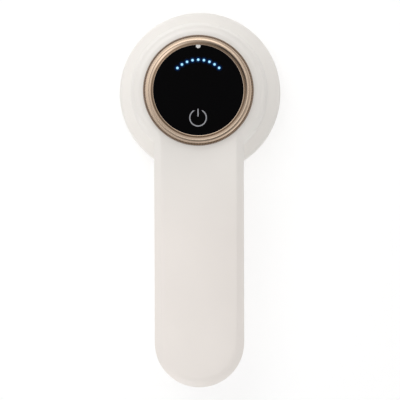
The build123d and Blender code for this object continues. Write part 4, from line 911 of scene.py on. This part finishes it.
def makeFloor():
    # a flat square, x and y from -reach to reach; it glows towards the eye, more with distance
    # from the object, so that only the object's own shadow stays on it, and is clear from below
    along = np.linspace(-studio["floorReach"], studio["floorReach"], 3) / mm
    x, y = np.meshgrid(along, along)
    points, faces = sheetOf(flatRow(x, y, studio["floorHeight"]), roundColumns=False)
    mesh = bpy.data.meshes.new("floor")
    mesh.from_pydata((points * mm).tolist(), [], faces.tolist())
    floor = bpy.data.objects.new("floor", mesh)
    bpy.context.scene.collection.objects.link(floor)
    material = bpy.data.materials.new("paleFloor")
    material.use_nodes = True
    tree = material.node_tree
    shader = tree.nodes["Principled BSDF"]
    shader.inputs["Base Color"].default_value = (*studio["floorColour"], 1)
    shader.inputs["Roughness"].default_value = studio["floorRough"]
    shader.inputs["Specular IOR Level"].default_value = 0.0
    shader.inputs["Emission Color"].default_value = (1, 1, 1, 1)
    path = add(tree, "LightPath").outputs
    seen = maths(tree, "MAXIMUM", path["Is Camera Ray"], path["Is Glossy Ray"])
    seen = maths(tree, "MAXIMUM", seen, path["Is Transmission Ray"])
    away = add(tree, "VectorMath", operation="LENGTH")
    plug(tree, add(tree, "TexCoord").outputs["Object"], away.inputs[0])
    fade = studio["floorFade"]
    lift = ranged(tree, away.outputs["Value"], *fade, studio["floorLift"], 1.0)
    plug(tree, maths(tree, "MULTIPLY", seen, lift), shader.inputs["Emission Strength"])
    mix = add(tree, "MixShader")
    plug(tree, add(tree, "NewGeometry").outputs["Backfacing"], mix.inputs[0])
    plug(tree, shader.outputs[0], mix.inputs[1])
    plug(tree, add(tree, "BsdfTransparent").outputs[0], mix.inputs[2])
    plug(tree, mix.outputs[0], tree.nodes["Material Output"].inputs["Surface"])
    mesh.materials.append(material)


def makeWorld():
    # rough surfaces get level + ends * y^2; mirror-like ones get the bands, laid over each other
    # from the horizon up, times the spots; seen straight or through clear parts it is white
    world = bpy.data.worlds.new("studio")
    bpy.context.scene.world = world
    world.use_nodes = True
    tree = world.node_tree
    place = add(tree, "TexCoord").outputs["Generated"]
    x, y, z = parted(tree, place)
    square = maths(tree, "MULTIPLY", y, y)
    sky = maths(tree, "MULTIPLY_ADD", square, studio["skyEnds"], studio["skyLevel"])

    def between(share, first, second):
        # first at share 0, second at share 1
        rest = maths(tree, "MULTIPLY", first, maths(tree, "SUBTRACT", 1.0, share))
        return maths(tree, "ADD", rest, maths(tree, "MULTIPLY", second, share))

    corners = maths(tree, "MULTIPLY", x, y)
    least, most = studio["mirrorLimits"]
    gloss = None
    for start, full, level, leanX, leanY, cross in studio["mirror"]:
        lean = add(tree, "VectorMath", operation="DOT_PRODUCT")
        plug(tree, place, lean.inputs[0])
        lean.inputs[1].default_value = (leanX, leanY, 0.0)
        band = maths(tree, "ADD", lean.outputs["Value"], level)
        band = maths(tree, "MULTIPLY_ADD", corners, cross, band)
        band = maths(tree, "MINIMUM", maths(tree, "MAXIMUM", band, least), most)
        gloss = band if gloss is None else between(ranged(tree, z, start, full), gloss, band)
    for centre, inner, outer, factor in studio["spots"]:
        away = add(tree, "VectorMath", operation="DISTANCE")
        plug(tree, place, away.inputs[0])
        away.inputs[1].default_value = centre
        dimmed = ranged(tree, away.outputs["Value"], inner, outer, factor, 1.0)
        gloss = maths(tree, "MULTIPLY", gloss, dimmed)
    path = add(tree, "LightPath").outputs
    plain = maths(tree, "MAXIMUM", path["Is Camera Ray"], path["Is Transmission Ray"])
    level = between(plain, between(path["Is Glossy Ray"], sky, gloss), 1.0)
    back = tree.nodes["Background"]
    back.inputs["Color"].default_value = (1, 1, 1, 1)
    plug(tree, level, back.inputs["Strength"])


def makeLamp(name, place, size, power, shadow=True):
    # a round soft lamp that looks at the object and doesn't show in mirrors
    data = bpy.data.lights.new(name, "AREA")
    data.shape = "DISK"
    data.size = size
    data.energy = power
    data.use_shadow = shadow
    lamp = bpy.data.objects.new(name, data)
    bpy.context.scene.collection.objects.link(lamp)
    lamp.location = place
    aim = Vector(studio["aim"]) - Vector(place)
    lamp.rotation_euler = aim.to_track_quat("-Z", "Y").to_euler()
    lamp.visible_glossy = False


makeFloor()
makeWorld()
makeLamp("keyLamp", studio["keyPlace"], studio["keySize"], studio["keyPower"])
for fillName, (fillPlace, fillPower) in studio["fills"].items():
    makeLamp(fillName, fillPlace, studio["fillSize"], fillPower, False)

# Camera: nearly straight above, two metres away. Roll is in radians, near and far in metres.
camera = {
    "place": (40.15, -72.61, 2014.0), "aim": (-0.356, -67.76, 14.0), "roll": -0.00272,
    "lens": 282.7, "sensor": 36.0, "near": 0.1, "far": 20.0,
}


def makeCamera():
    # its axes are the line of sight and two lines across it, turned about it by the roll
    data = bpy.data.cameras.new("camera")
    data.lens = camera["lens"]
    data.sensor_width = camera["sensor"]
    data.clip_start = camera["near"]
    data.clip_end = camera["far"]
    eye = bpy.data.objects.new("camera", data)
    bpy.context.scene.collection.objects.link(eye)
    place = Vector(camera["place"])
    forward = (Vector(camera["aim"]) - place).normalized()
    side = forward.cross(Vector((0, 1, 0))).normalized()
    up = side.cross(forward)
    turn = camera["roll"]
    right = side * math.cos(turn) + up * math.sin(turn)
    above = up * math.cos(turn) - side * math.sin(turn)
    axes = Matrix((right, above, -forward)).transposed()
    eye.matrix_world = Matrix.Translation(place * mm) @ axes.to_4x4()
    bpy.context.scene.camera = eye


makeCamera()
bpy.context.scene.view_settings.view_transform = "Standard"
print("studio and camera set")
